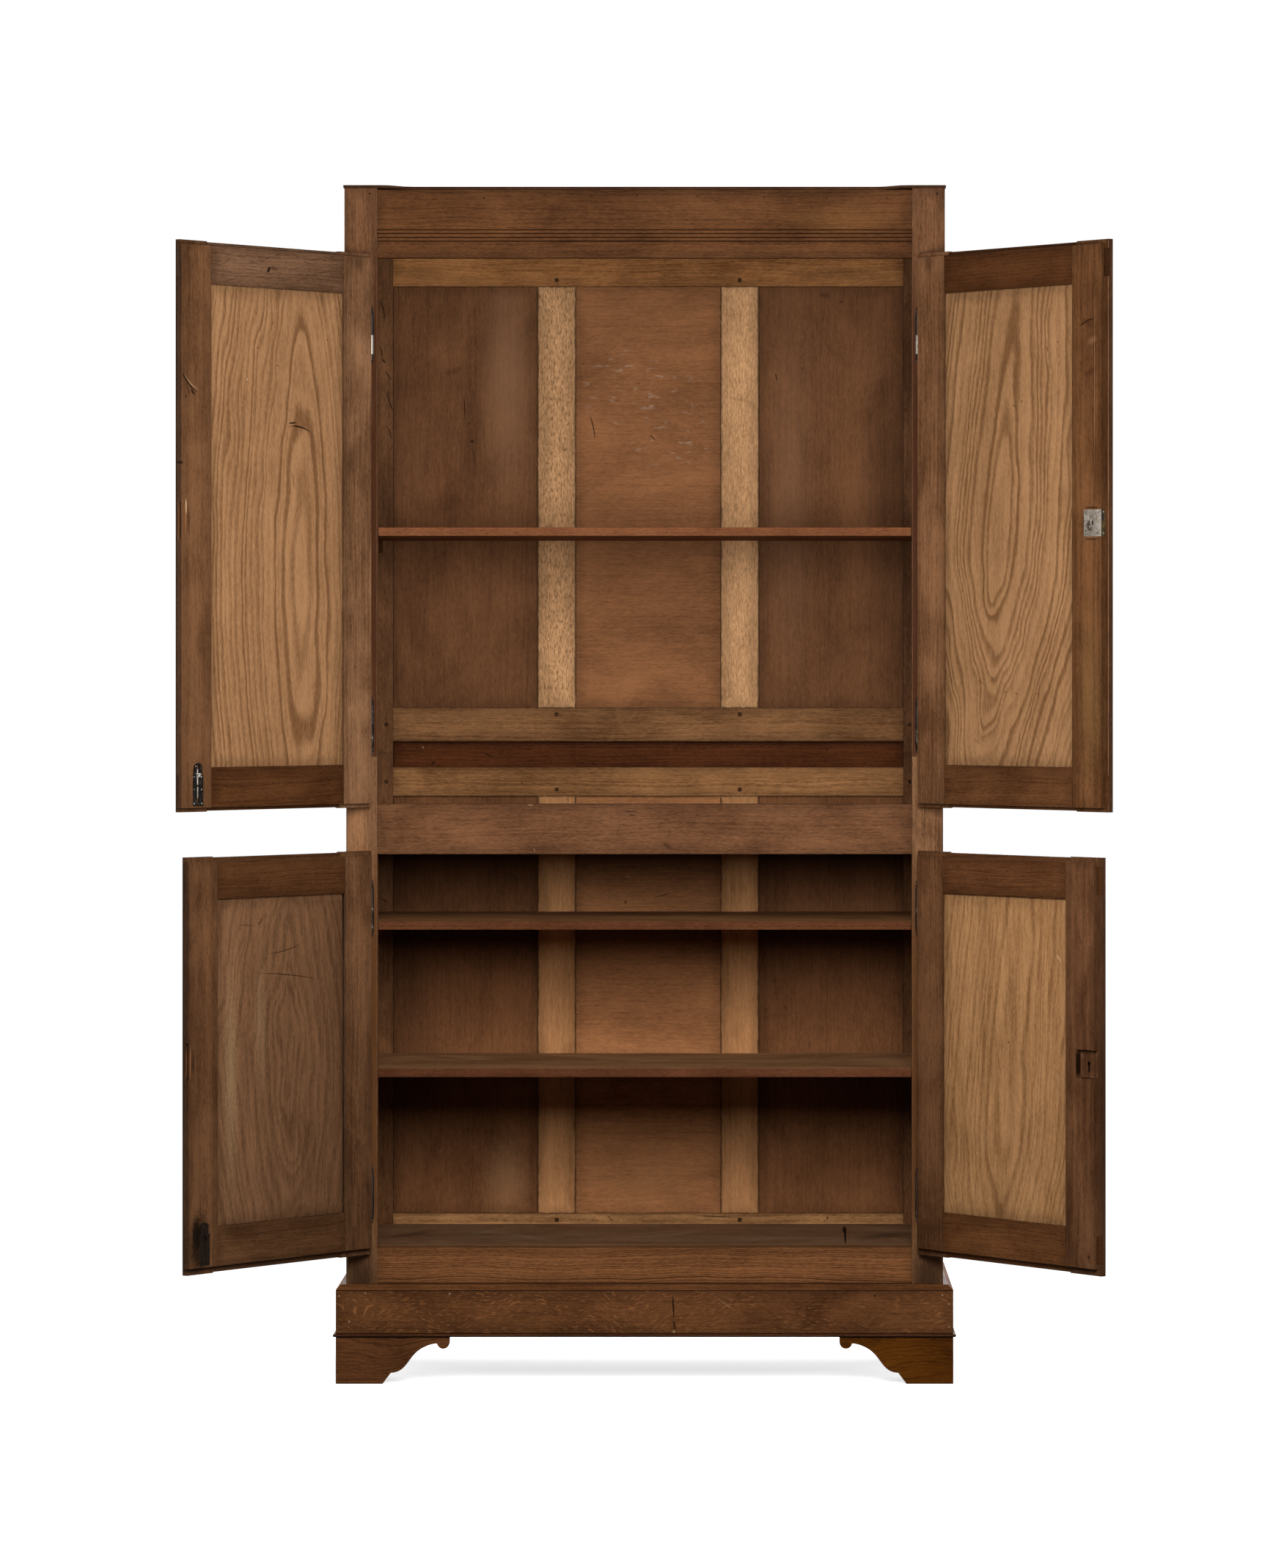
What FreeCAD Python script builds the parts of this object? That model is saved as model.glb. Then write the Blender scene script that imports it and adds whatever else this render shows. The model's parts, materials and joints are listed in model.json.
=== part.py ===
"""Two-stage oak linen press: framed cases on a plinth with bracket feet, four lipped doors standing open.

Millimetres, +Z up, the front faces -Y. The pieces are drawn with Y = 0 in the front plane of the case,
then everything is moved so that the origin lies on the floor, on the centre line, in the middle of the
depth that the press takes up with its doors open.
"""
import FreeCAD
import Part
import math
import os

from FreeCAD import Vector

# Widths, measured from the centre line
OPENING_HALF = 474.0        # centre line to the inner edge of a front post
UPPER_POST_W = 58.0
LOWER_POST_W = 55.0
BACK_POST_REACH = 3.0       # the back posts reach this much further in than the front posts
PLINTH_SIDE = 17.5          # overhang of the plinth at each side
PLINTH_FRONT = 15.0         # overhang of the plinth at the front

# Depths
FRONT_POST_T = 32.0
INNER_DEPTH = 438.0         # front plane to the front of the back frame
BACK_POST_T = 30.0
BACK_FRAME_T = 22.0
FRONT_RAIL_T = 25.0
FRIEZE_T = 22.0
SIDE_RAIL_T = 22.0

# Heights, each counted from the one before it
FOOT_H = 83.0
BEAD_H = 5.0
PLINTH_H = 78.0
CAP_H = 9.0
BOTTOM_RAIL_H = 65.0
LOWER_OPENING_H = 696.7
MID_RAIL_H = 89.0
UPPER_OPENING_H = 967.3
FRIEZE_H = 121.0
POST_HORN = 3.0             # the posts stand this much above the frieze
TOP_BOARD_T = 5.0
LOWER_HEAD_H = 84.3         # the lower posts rise this much above the mid rail

# Plinth and feet
PLINTH_T = 22.0
CAP_W = 42.0
CAP_BEVEL = 9.0
BEAD_OUT = 5.0
FOOT_PAD = 83.0             # flat length on the floor
FOOT_STEP = 14.6            # run of the sloped toe
FOOT_STEP_H = 19.4
FOOT_CURVE_RUN = 81.7       # run of the ogee, from the toe to the drop
FOOT_CURVE_RISE = 51.8
DROP_R = 11.0               # round drop at the tip of each bracket
DROP_GAP = 10.0             # height of the drop's centre below the plinth
# Points of the bracket's ogee, as shares of its run and rise
OGEE_SHARES = ((0.27, 0.17), (0.50, 0.62), (0.78, 0.92))

# Frames, tenons and panels
TENON_T = 10.0
TENON_INSET = 7.0           # front face of a rail to the tenon
TENON_SHOULDER = 9.0        # tenon edges stand in from the rail's edges
FRONT_TENON = 34.0
SIDE_TENON = 18.0
BACK_TENON = 30.0
MUNTIN_TENON = 20.0
PANEL_T = 8.0
PANEL_INSET = 9.0           # recess of a case panel behind the face of its frame
GROOVE = 8.0
TONGUE = 6.0                # the panel enters its groove this far
MUNTIN_W = 70.0
CENTRE_PANEL_W = 268.0
LOWER_BACK_BOTTOM_H = 84.0
LOWER_BACK_TOP_H = 52.6
LOWER_BACK_DROP = 27.4      # top of the lower back frame below the join
UPPER_BACK_BOTTOM_H = 61.4
UPPER_BACK_TOP_H = 143.5
UPPER_BACK_LIFT = 21.0      # underside of the upper back frame above the join
SIDE_RAIL_H = 80.0
JOIN_STRIP_T = 8.0
JOIN_STRIP_LAP = 10.0

# Boards and shelves
BOTTOM_BOARD_T = 18.0
UPPER_FLOOR_DROP = 12.0     # floor of the upper space below the top of the mid rail, which stops the doors
SHELF_T = 15.0
SHELF_SETBACK = 23.0
SHELF_SIDE_GAP = 1.0
LOWER_SHELF_RISE = 315.0    # top of each shelf above the bottom board, or above the mid rail
MIDDLE_SHELF_RISE = 576.6
UPPER_SHELF_RISE = 490.3
CLEAT_W = 20.0
CLEAT_H = 22.0
TOP_OVERHANG = 2.0
TOP_SAG_RUN = 64.0          # the thin top board eases down from the posts to the frieze over this run

# Frieze reeds
REED_PITCH = 6.7
REED_GROOVES = 4
REED_GROOVE_W = 2.2
REED_GROOVE_D = 1.3
REED_BAND_RISE = 29.8       # lowest groove above the frieze's underside

# Doors
LIP_T = 10.0                # outer skin of a door, in front of the case
INNER_T = 11.0              # part of a door that enters the opening
LIP_REST = 0.4              # air between a closed lip and the case
LIP_HINGE = 5.0             # lip beyond the opening on the hinge side
LIP_TOP = 6.5
UPPER_LIP_BOTTOM = 5.7
LOWER_LIP_BOTTOM = 11.0
MEETING_LIP = 7.0
EDGE_GAP = 1.5
HINGE_GAP = 6.0
MEETING_GAP = 1.5           # between the two doors of a pair
HINGE_STILE_W = 70.0
FREE_STILE_W = 72.0
UPPER_TOP_RAIL_H = 66.5
UPPER_BOTTOM_RAIL_H = 69.0
LOWER_TOP_RAIL_H = 65.0
LOWER_BOTTOM_RAIL_H = 68.0
STILE_HORN = 1.5            # stile ends stand past the rails
DOOR_TENON_T = 9.0
DOOR_TENON_H = 48.0
DOOR_TENON_DROP = 8.0       # outer edge of the rail's inner face to its tenon
DOOR_TENON_L = 50.0         # stopped tenon in the hinge stile
DOOR_PANEL_T = 7.0
DOOR_PANEL_FIELD = 6.0      # the raised field stands this far forward of the tongue
DOOR_PANEL_BEVEL = 34.0
DOOR_PANEL_CHAMFER = 11.0   # shallow inner chamfer along the top and bottom edges
DOOR_PANEL_CHAMFER_D = 1.6
DOOR_PANEL_BACKSET = 4.0    # inner face of the panel behind the inner face of the frame
PANEL_SHRINK = 2.6          # the lower left panel has shrunk out of its groove by this much
UPPER_OPEN_ANGLE = 130.4    # degrees from closed, as the doors stand
LOWER_OPEN_ANGLE = 128.4

# Hinges: two turned barrels on a pin, each with one thin leaf let into the wood
PIVOT_OUT = 5.0             # lip edge to the pin's axis
BARREL_R = 4.7
BARREL_L = 34.0
FINIAL_L = 18.0
BARREL_GAP = 0.2            # air between the two barrels
PIN_R = 2.5
PIN_CLEAR = 0.05
PIN_L = 26.0
LEAF_T = 2.0
LEAF_W = 26.0
# Turning of a finial: shares of its length and of the barrel's radius
FINIAL_TURNING = (
    (0.0, 1.0), (0.12, 1.0), (0.20, 0.66), (0.32, 1.0), (0.44, 0.55), (0.62, 0.80), (0.84, 0.50))
UPPER_HINGE_DOWN = 137.0    # hinge joint below the top of the upper opening
UPPER_HINGE_UP = 139.3      # hinge joint above its bottom
LOWER_HINGE_DOWN = 95.7
LOWER_HINGE_UP = 94.0

# Flush bolts on the left doors
BOLT_IN = 40.0              # free edge to the bolt's axis
BOLT_PLATE_W = 25.0
BOLT_PLATE_H = 74.0
BOLT_PLATE_T = 2.0
BOLT_PLATE_RISE = 3.0
BOLT_R = 3.2
BOLT_CLEAR = 0.3
BOLT_L = 66.0
BOLT_TRAVEL = 10.0
BOLT_SLOT_W = 8.0
BOLT_KNOB_RISE = 56.0
BOLT_KNOB_R = 3.6
BOLT_KNOB_OUT = 5.0
BOLT_SOCKET_R = 4.2
BOLT_END_AIR = 2.0          # room past the end of the bolt, in its bore and in its socket

# Lock on the upper right door, its empty seat on the lower one, strikes in the left doors
LOCK_W = 43.0
LOCK_H = 46.0
LOCK_DEPTH = 9.0
LOCK_RISE = 489.0           # centre above the bottom of the opening
LOCK_SEAT_W = 45.0
LOCK_SEAT_H = 48.0
LOCK_SEAT_RISE = 350.0
LOCK_BOLT_T = 5.0
LOCK_BOLT_H = 12.0
LOCK_BOLT_L = 26.0
LOCK_BOLT_UP = 9.0
LOCK_BOLT_CLEAR = 0.2
LOCK_KEY_R = 2.1            # hole in the lock for the key's pipe
KEY_IN = 22.0
KEY_R = 3.0
KEY_SLOT_W = 3.0
KEY_SLOT_L = 10.0
STRIKE_H = 63.0
STRIKE_D = 8.0
STRIKE_AIR = 1.0            # room beside the bolt in its strike

# Pegs
ROUND_PEG_R = 4.0
SQUARE_PEG = 7.0
PEG_L = 16.0
PEG_PROUD = 0.5
PEG_IN = 12.5
LOWER_CHAMFER = 3.0         # chamfer on the outer arris of the lower front posts

# Places worked out from the sizes
UPPER_HALF = OPENING_HALF + UPPER_POST_W
LOWER_HALF = OPENING_HALF + LOWER_POST_W
BACK_HALF = OPENING_HALF - BACK_POST_REACH
CASE_BACK = INNER_DEPTH + BACK_POST_T
PLINTH_HALF = LOWER_HALF + PLINTH_SIDE
BEAD_Z = FOOT_H
PLINTH_Z = BEAD_Z + BEAD_H
CAP_Z = PLINTH_Z + PLINTH_H
CASE_Z = CAP_Z + CAP_H
FLOOR_Z = CASE_Z + BOTTOM_RAIL_H
MID_RAIL_Z = FLOOR_Z + LOWER_OPENING_H
UPPER_Z = MID_RAIL_Z + MID_RAIL_H
JOIN_Z = UPPER_Z + LOWER_HEAD_H
FRIEZE_Z = UPPER_Z + UPPER_OPENING_H
FRIEZE_TOP = FRIEZE_Z + FRIEZE_H
POST_TOP = FRIEZE_TOP + POST_HORN
LOWER_BACK_TOP = JOIN_Z - LOWER_BACK_DROP
UPPER_BACK_Z = JOIN_Z + UPPER_BACK_LIFT

DOOR_FRONT = -LIP_REST - LIP_T
DOOR_STEP = -LIP_REST
DOOR_BACK = INNER_T - LIP_REST
PIVOT_X = OPENING_HALF + LIP_HINGE + PIVOT_OUT
PIVOT_Y = DOOR_FRONT + LIP_T / 2
INNER_EDGE = PIVOT_X - OPENING_HALF + HINGE_GAP     # along the leaf, from the pin's axis
FREE_EDGE = PIVOT_X - MEETING_GAP / 2
PANEL_BACK = DOOR_BACK - DOOR_PANEL_BACKSET
PANEL_FRONT = PANEL_BACK - DOOR_PANEL_T
BOLT_X = FREE_EDGE - BOLT_IN
BOLT_Y = DOOR_BACK - BOLT_PLATE_T - BOLT_CLEAR - BOLT_R
HINGE_LEVELS = {
    "upper": (UPPER_Z + UPPER_HINGE_UP, FRIEZE_Z - UPPER_HINGE_DOWN),
    "lower": (FLOOR_Z + LOWER_HINGE_UP, MID_RAIL_Z - LOWER_HINGE_DOWN),
}
PLINTH_BACK = CASE_BACK
BIG = 3000.0                # longer than the whole press, for cutting tools


def box(x0, x1, y0, y1, z0, z1):
    """A box between two corners."""
    return Part.makeBox(x1 - x0, y1 - y0, z1 - z0, Vector(x0, y0, z0))


def prism(points, direction):
    """A closed polygon pushed along a direction."""
    return Part.Face(Part.makePolygon(points + [points[0]])).extrude(direction)


def rod(radius, start, direction, length):
    """A plain cylinder."""
    return Part.makeCylinder(radius, length, start, direction)


def fused(shapes):
    """One solid made of several that meet."""
    whole = shapes[0]
    for shape in shapes[1:]:
        whole = whole.fuse(shape)
    return whole.removeSplitter()


def cut(shape, tools):
    """A solid with each of the tools taken away."""
    for tool in tools:
        shape = shape.cut(tool)
    return shape


def mirrored(shape):
    """The same piece on the other side of the centre line."""
    return shape.mirror(Vector(0, 0, 0), Vector(1, 0, 0))


def both_sides(shape):
    """A piece and its twin on the other side."""
    return [shape, mirrored(shape)]


# Plinth and feet

def foot_profile(height):
    """Outline of a bracket: corner, flat pad, sloped toe, ogee and round drop, as (run, height) points."""
    toe = FOOT_PAD + FOOT_STEP
    tip = toe + FOOT_CURVE_RUN
    tip_z = FOOT_STEP_H + FOOT_CURVE_RISE
    drop_x = tip + DROP_R
    drop_z = height - DROP_GAP
    ogee = Part.BSplineCurve()
    ogee.interpolate([Vector(toe + along * FOOT_CURVE_RUN, 0, FOOT_STEP_H + up * FOOT_CURVE_RISE)
                      for along, up in ((0.0, 0.0),) + OGEE_SHARES + ((1.0, 1.0),)])
    under = Vector(drop_x, 0, drop_z - DROP_R)
    outer = Vector(drop_x + DROP_R, 0, drop_z)
    edges = [
        Part.LineSegment(Vector(0, 0, height), Vector(0, 0, 0)).toShape(),
        Part.LineSegment(Vector(0, 0, 0), Vector(FOOT_PAD, 0, 0)).toShape(),
        Part.LineSegment(Vector(FOOT_PAD, 0, 0), Vector(toe, 0, FOOT_STEP_H)).toShape(),
        ogee.toShape(),
        Part.Arc(Vector(tip, 0, tip_z), under, outer).toShape(),
        Part.LineSegment(outer, Vector(drop_x + DROP_R, 0, height)).toShape(),
        Part.LineSegment(Vector(drop_x + DROP_R, 0, height), Vector(0, 0, height)).toShape(),
    ]
    return Part.Face(Part.Wire(edges))


def plan_front(depth, out):
    """Mitred plan of the front run of the plinth, as a prism."""
    half = PLINTH_HALF + out
    front = -PLINTH_FRONT - out
    return prism([
        Vector(-half, front, -BIG),
        Vector(half, front, -BIG),
        Vector(half - depth, front + depth, -BIG),
        Vector(-half + depth, front + depth, -BIG),
    ], Vector(0, 0, 2 * BIG))


def plan_side(depth, out):
    """Mitred plan of the left side run of the plinth, as a prism."""
    half = PLINTH_HALF + out
    front = -PLINTH_FRONT - out
    return prism([
        Vector(-half, front, -BIG),
        Vector(-half + depth, front + depth, -BIG),
        Vector(-half + depth, PLINTH_BACK, -BIG),
        Vector(-half, PLINTH_BACK, -BIG),
    ], Vector(0, 0, 2 * BIG))


def front_foot():
    """Front left foot: two brackets mitred at the corner."""
    face = foot_profile(FOOT_H)
    front = face.translated(Vector(-PLINTH_HALF, -PLINTH_FRONT, 0)).extrude(Vector(0, PLINTH_T, 0))
    turned = face.copy()
    turned.rotate(Vector(0, 0, 0), Vector(0, 0, 1), 90)
    side = turned.translated(Vector(-PLINTH_HALF, -PLINTH_FRONT, 0)).extrude(Vector(PLINTH_T, 0, 0))
    return [front.common(plan_front(PLINTH_T, 0)), side.common(plan_side(PLINTH_T, 0))]


def back_feet():
    """Back feet: a side bracket and a plain board behind it, at each side."""
    turned = foot_profile(FOOT_H)
    turned.rotate(Vector(0, 0, 0), Vector(0, 0, 1), -90)
    side = turned.translated(Vector(-PLINTH_HALF, PLINTH_BACK, 0)).extrude(Vector(PLINTH_T, 0, 0))
    inner = -PLINTH_HALF + PLINTH_T
    board = box(inner, inner + FOOT_PAD, PLINTH_BACK - PLINTH_T, PLINTH_BACK, 0, FOOT_H)
    return both_sides(side) + both_sides(board)


def strip_run(section):
    """A strip round the front and sides, from its section as (outward, height) points."""
    out = max(point[0] for point in section)
    depth = out - min(point[0] for point in section)
    front = prism([Vector(-BIG / 2, -PLINTH_FRONT - p[0], p[1]) for p in section], Vector(BIG, 0, 0))
    side = prism([Vector(-PLINTH_HALF - p[0], -BIG / 2, p[1]) for p in section], Vector(0, BIG, 0))
    left = side.common(plan_side(depth, out))
    return [front.common(plan_front(depth, out)), left, mirrored(left)]


def plinth_bead():
    """Small half-round strip under the plinth boards."""
    inner = -PLINTH_T
    nose = BEAD_OUT - BEAD_H / 2
    steps = 4
    section = [(inner, BEAD_Z), (nose, BEAD_Z)]
    for step in range(1, steps):
        angle = math.pi * (step / steps - 0.5)
        section.append((nose + BEAD_H / 2 * math.cos(angle), BEAD_Z + BEAD_H / 2 * (1 + math.sin(angle))))
    section += [(nose, BEAD_Z + BEAD_H), (inner, BEAD_Z + BEAD_H)]
    back = box(-PLINTH_HALF + PLINTH_T, PLINTH_HALF - PLINTH_T,
               PLINTH_BACK - PLINTH_T, PLINTH_BACK, BEAD_Z, PLINTH_Z)
    return strip_run(section) + [back]


def plinth_cap():
    """Flat frame that the case stands on, bevelled outside, with a plain strip across the back."""
    section = [(-CAP_W, CAP_Z), (0, CAP_Z), (-CAP_BEVEL, CASE_Z), (-CAP_W, CASE_Z)]
    back = box(-PLINTH_HALF + CAP_W, PLINTH_HALF - CAP_W,
               PLINTH_BACK - CAP_W, PLINTH_BACK, CAP_Z, CASE_Z)
    return strip_run(section) + [back]


def plinth_boards():
    """Front, side and back boards of the plinth, mitred at the front."""
    section = [(-PLINTH_T, PLINTH_Z), (0, PLINTH_Z), (0, CAP_Z), (-PLINTH_T, CAP_Z)]
    front, left, right = strip_run(section)
    back = box(-PLINTH_HALF + PLINTH_T, PLINTH_HALF - PLINTH_T,
               PLINTH_BACK - PLINTH_T, PLINTH_BACK, PLINTH_Z, CAP_Z)
    return front, [left, right], back


# Case: posts, rails, sides, back

def rail_tenons(end, length, z0, z1, y0):
    """Tenons at both ends of a rail that runs in X and ends at plus and minus end."""
    low = z0 + TENON_SHOULDER
    high = z1 - TENON_SHOULDER
    right = box(end, end + length, y0, y0 + TENON_T, low, high)
    return [right, mirrored(right)]


def front_rail(z0, z1, thickness):
    """A front rail with its tenons, and the tenons alone for cutting the mortises."""
    tenons = rail_tenons(OPENING_HALF, FRONT_TENON, z0, z1, TENON_INSET)
    body = box(-OPENING_HALF, OPENING_HALF, 0, thickness, z0, z1)
    return fused([body] + tenons), tenons


def side_frame(half, z0, z1):
    """Left side of a stage between its posts: two rails and a panel, with the cutting tools."""
    x0 = -half
    x1 = x0 + SIDE_RAIL_T
    tongue_x = x0 + PANEL_INSET
    levels = [(z0, z0 + SIDE_RAIL_H), (z1 - SIDE_RAIL_H, z1)]
    tenon_x = x0 + (SIDE_RAIL_T - TENON_T) / 2
    rails = []
    tenons = []
    for low, high in levels:
        for start in (FRONT_POST_T - SIDE_TENON, INNER_DEPTH):
            tenons.append(box(tenon_x, tenon_x + TENON_T, start, start + SIDE_TENON,
                              low + TENON_SHOULDER, high - TENON_SHOULDER))
        rails.append(fused([box(x0, x1, FRONT_POST_T, INNER_DEPTH, low, high)] + tenons[-2:]))
    panel_z = (levels[0][1], levels[1][0])
    groove = box(tongue_x, tongue_x + PANEL_T, FRONT_POST_T - GROOVE, INNER_DEPTH + GROOVE,
                 panel_z[0] - GROOVE, panel_z[1] + GROOVE)
    panel = box(tongue_x, tongue_x + PANEL_T, FRONT_POST_T - TONGUE, INNER_DEPTH + TONGUE,
                panel_z[0] - TONGUE, panel_z[1] + TONGUE)
    rails = [cut(rail, [groove]) for rail in rails]
    return rails, panel, tenons + [groove]


def back_frame(levels):
    """Back of a stage: two rails, two muntins, three panels, pegs, and the tools for the posts.

    levels holds the bottom and top of the lower rail, then of the upper rail.
    """
    low0, low1, high0, high1 = levels
    y0 = INNER_DEPTH
    y1 = y0 + BACK_FRAME_T
    tenon_y = y0 + (BACK_FRAME_T - TENON_T) / 2
    panel_y = y0 + PANEL_INSET
    mun0 = CENTRE_PANEL_W / 2
    mun1 = mun0 + MUNTIN_W
    post_tools = []
    rails = []
    for z0, z1 in ((low0, low1), (high0, high1)):
        tenons = rail_tenons(BACK_HALF, BACK_TENON, z0, z1, tenon_y)
        post_tools += tenons
        rails.append(fused([box(-BACK_HALF, BACK_HALF, y0, y1, z0, z1)] + tenons))
    body = box(mun0, mun1, y0, y1, low1, high0)
    ends = [box(mun0 + TENON_SHOULDER, mun1 - TENON_SHOULDER, tenon_y, tenon_y + TENON_T, z, z + MUNTIN_TENON)
            for z in (low1 - MUNTIN_TENON, high0)]
    muntins = both_sides(fused([body] + ends))
    muntin_tools = ends + [mirrored(end) for end in ends]
    panels = []
    grooves = []
    for x0, x1 in ((-BACK_HALF, -mun1), (-mun0, mun0), (mun1, BACK_HALF)):
        for boards, reach in ((panels, TONGUE), (grooves, GROOVE)):
            boards.append(box(x0 - reach, x1 + reach, panel_y, panel_y + PANEL_T,
                              low1 - reach, high0 + reach))
    rails = [cut(rail, muntin_tools) for rail in rails]
    rails = [cut(rail, [groove.cut(Part.makeCompound(muntins)) for groove in grooves]) for rail in rails]
    muntins = [cut(muntin, grooves) for muntin in muntins]
    return rails, muntins, panels, post_tools + grooves


def back_pegs(levels):
    """Round pegs through the rail tenons and square ones through the muntin tenons."""
    low0, low1, high0, high1 = levels
    front = INNER_DEPTH - PEG_PROUD
    pegs = []
    for z in ((low0 + low1) / 2, (high0 + high1) / 2):
        pegs += both_sides(rod(ROUND_PEG_R, Vector(BACK_HALF + PEG_IN, front, z), Vector(0, 1, 0), PEG_L))
    middle = (CENTRE_PANEL_W + MUNTIN_W) / 2
    reach = MUNTIN_TENON / 2 + SQUARE_PEG / 4
    for z in (low1 - reach, high0 + reach):
        pegs += both_sides(box(middle - SQUARE_PEG / 2, middle + SQUARE_PEG / 2,
                               front, front + PEG_L, z - SQUARE_PEG / 2, z + SQUARE_PEG / 2))
    return pegs


def frieze():
    """Board over the upper doors, with a band of reeds cut along it."""
    body, tenons = front_rail(FRIEZE_Z, FRIEZE_TOP, FRIEZE_T)
    grooves = []
    for index in range(REED_GROOVES):
        z = FRIEZE_Z + REED_BAND_RISE + index * REED_PITCH
        grooves.append(prism([
            Vector(-OPENING_HALF, 0, z - REED_GROOVE_W / 2),
            Vector(-OPENING_HALF, REED_GROOVE_D, z),
            Vector(-OPENING_HALF, 0, z + REED_GROOVE_W / 2),
        ], Vector(2 * OPENING_HALF, 0, 0)))
    return cut(body, grooves), tenons


def top_board():
    """Thin board that rests on the posts and eases down to the frieze between them."""
    half = UPPER_HALF + TOP_OVERHANG
    flat = BACK_HALF - TOP_SAG_RUN
    sag = Part.BezierCurve()
    sag.setPoles([
        Vector(flat, 0, FRIEZE_TOP),
        Vector(flat + TOP_SAG_RUN / 2, 0, FRIEZE_TOP),
        Vector(flat + TOP_SAG_RUN / 2, 0, POST_TOP),
        Vector(BACK_HALF, 0, POST_TOP),
    ])
    right_sag = sag.toShape()
    left_sag = mirrored(right_sag)
    low = [
        Part.LineSegment(Vector(-half, 0, POST_TOP), Vector(-BACK_HALF, 0, POST_TOP)).toShape(),
        left_sag,
        Part.LineSegment(Vector(-flat, 0, FRIEZE_TOP), Vector(flat, 0, FRIEZE_TOP)).toShape(),
        right_sag,
        Part.LineSegment(Vector(BACK_HALF, 0, POST_TOP), Vector(half, 0, POST_TOP)).toShape(),
    ]
    high = [edge.translated(Vector(0, 0, TOP_BOARD_T)) for edge in low]
    ends = []
    for x in (-half, half):
        ends.append(Part.LineSegment(Vector(x, 0, POST_TOP), Vector(x, 0, POST_TOP + TOP_BOARD_T)).toShape())
    wire = Part.Wire(Part.__sortEdges__(low + high + ends))
    depth = CASE_BACK + TOP_OVERHANG
    return Part.Face(wire).extrude(Vector(0, depth, 0)).translated(Vector(0, -TOP_OVERHANG, 0))


def notched_board(half, front, z_top, thickness):
    """A floor or shelf that reaches the sides behind the front posts."""
    lead = box(-OPENING_HALF + SHELF_SIDE_GAP, OPENING_HALF - SHELF_SIDE_GAP,
               front, FRONT_POST_T, z_top - thickness, z_top)
    wide = half - SIDE_RAIL_T - SHELF_SIDE_GAP
    rest = box(-wide, wide, FRONT_POST_T, INNER_DEPTH, z_top - thickness, z_top)
    return fused([lead, rest])


def cleats(half, z_top):
    """Pair of bearers under a shelf, from the front posts to the back posts."""
    outer = half - SIDE_RAIL_T
    return both_sides(box(outer - CLEAT_W, outer, FRONT_POST_T, INNER_DEPTH, z_top - CLEAT_H, z_top))


# Hinges

def finial(direction, z):
    """Turned end of a hinge barrel: a ring, a waist and a pointed bud, pointing up or down."""
    points = [Vector(0, 0, 0)]
    points += [Vector(radius * BARREL_R, 0, direction * share * FINIAL_L) for share, radius in FINIAL_TURNING]
    points.append(Vector(0, 0, direction * FINIAL_L))
    face = Part.Face(Part.makePolygon(points + [points[0]]))
    return face.revolve(Vector(0, 0, 0), Vector(0, 0, 1), 360).translated(Vector(0, 0, z))


def case_hinge_half(z):
    """Lower barrel with its pin, finial and the leaf that enters the post; the pin's axis is at X = 0."""
    barrel = rod(BARREL_R, Vector(0, 0, z - BARREL_L), Vector(0, 0, 1), BARREL_L)
    pin = rod(PIN_R, Vector(0, 0, z), Vector(0, 0, 1), PIN_L)
    leaf = box(-LEAF_T / 2, LEAF_T / 2, 0, LEAF_W, z - BARREL_L, z)
    return fused([barrel, pin, leaf, finial(-1, z - BARREL_L)]).translated(Vector(0, PIVOT_Y, 0))


def case_leaf_tool(z):
    """Slot that the case leaf fills in the post."""
    return box(-LEAF_T / 2, LEAF_T / 2, PIVOT_Y, PIVOT_Y + LEAF_W, z - BARREL_L, z)


def door_hinge_half(z):
    """Upper barrel, bored for the pin, with its finial and the leaf that enters the door."""
    low = z + BARREL_GAP
    high = z + BARREL_L
    barrel = rod(BARREL_R, Vector(0, 0, low), Vector(0, 0, 1), high - low)
    leaf = box(0, LEAF_W, -LEAF_T / 2, LEAF_T / 2, low, high)
    bore = rod(PIN_R + PIN_CLEAR, Vector(0, 0, low), Vector(0, 0, 1), PIN_L + PIN_CLEAR)
    return cut(fused([barrel, leaf, finial(1, high)]), [bore]).translated(Vector(0, PIVOT_Y, 0))


def door_leaf_tool(z):
    """Slot that the door leaf fills in the hinge stile."""
    return box(0, LEAF_W, PIVOT_Y - LEAF_T / 2, PIVOT_Y + LEAF_T / 2, z + BARREL_GAP, z + BARREL_L)


# Doors, drawn closed with X along the leaf from the pin's axis

def keyhole(z):
    """Tool for a keyhole through the outer skin: a round eye and a slot under it."""
    x = FREE_EDGE - KEY_IN
    eye = rod(KEY_R, Vector(x, DOOR_FRONT, z), Vector(0, 1, 0), LIP_T + INNER_T)
    slot = box(x - KEY_SLOT_W / 2, x + KEY_SLOT_W / 2, DOOR_FRONT, DOOR_BACK, z - KEY_SLOT_L, z)
    return fused([eye, slot])


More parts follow.
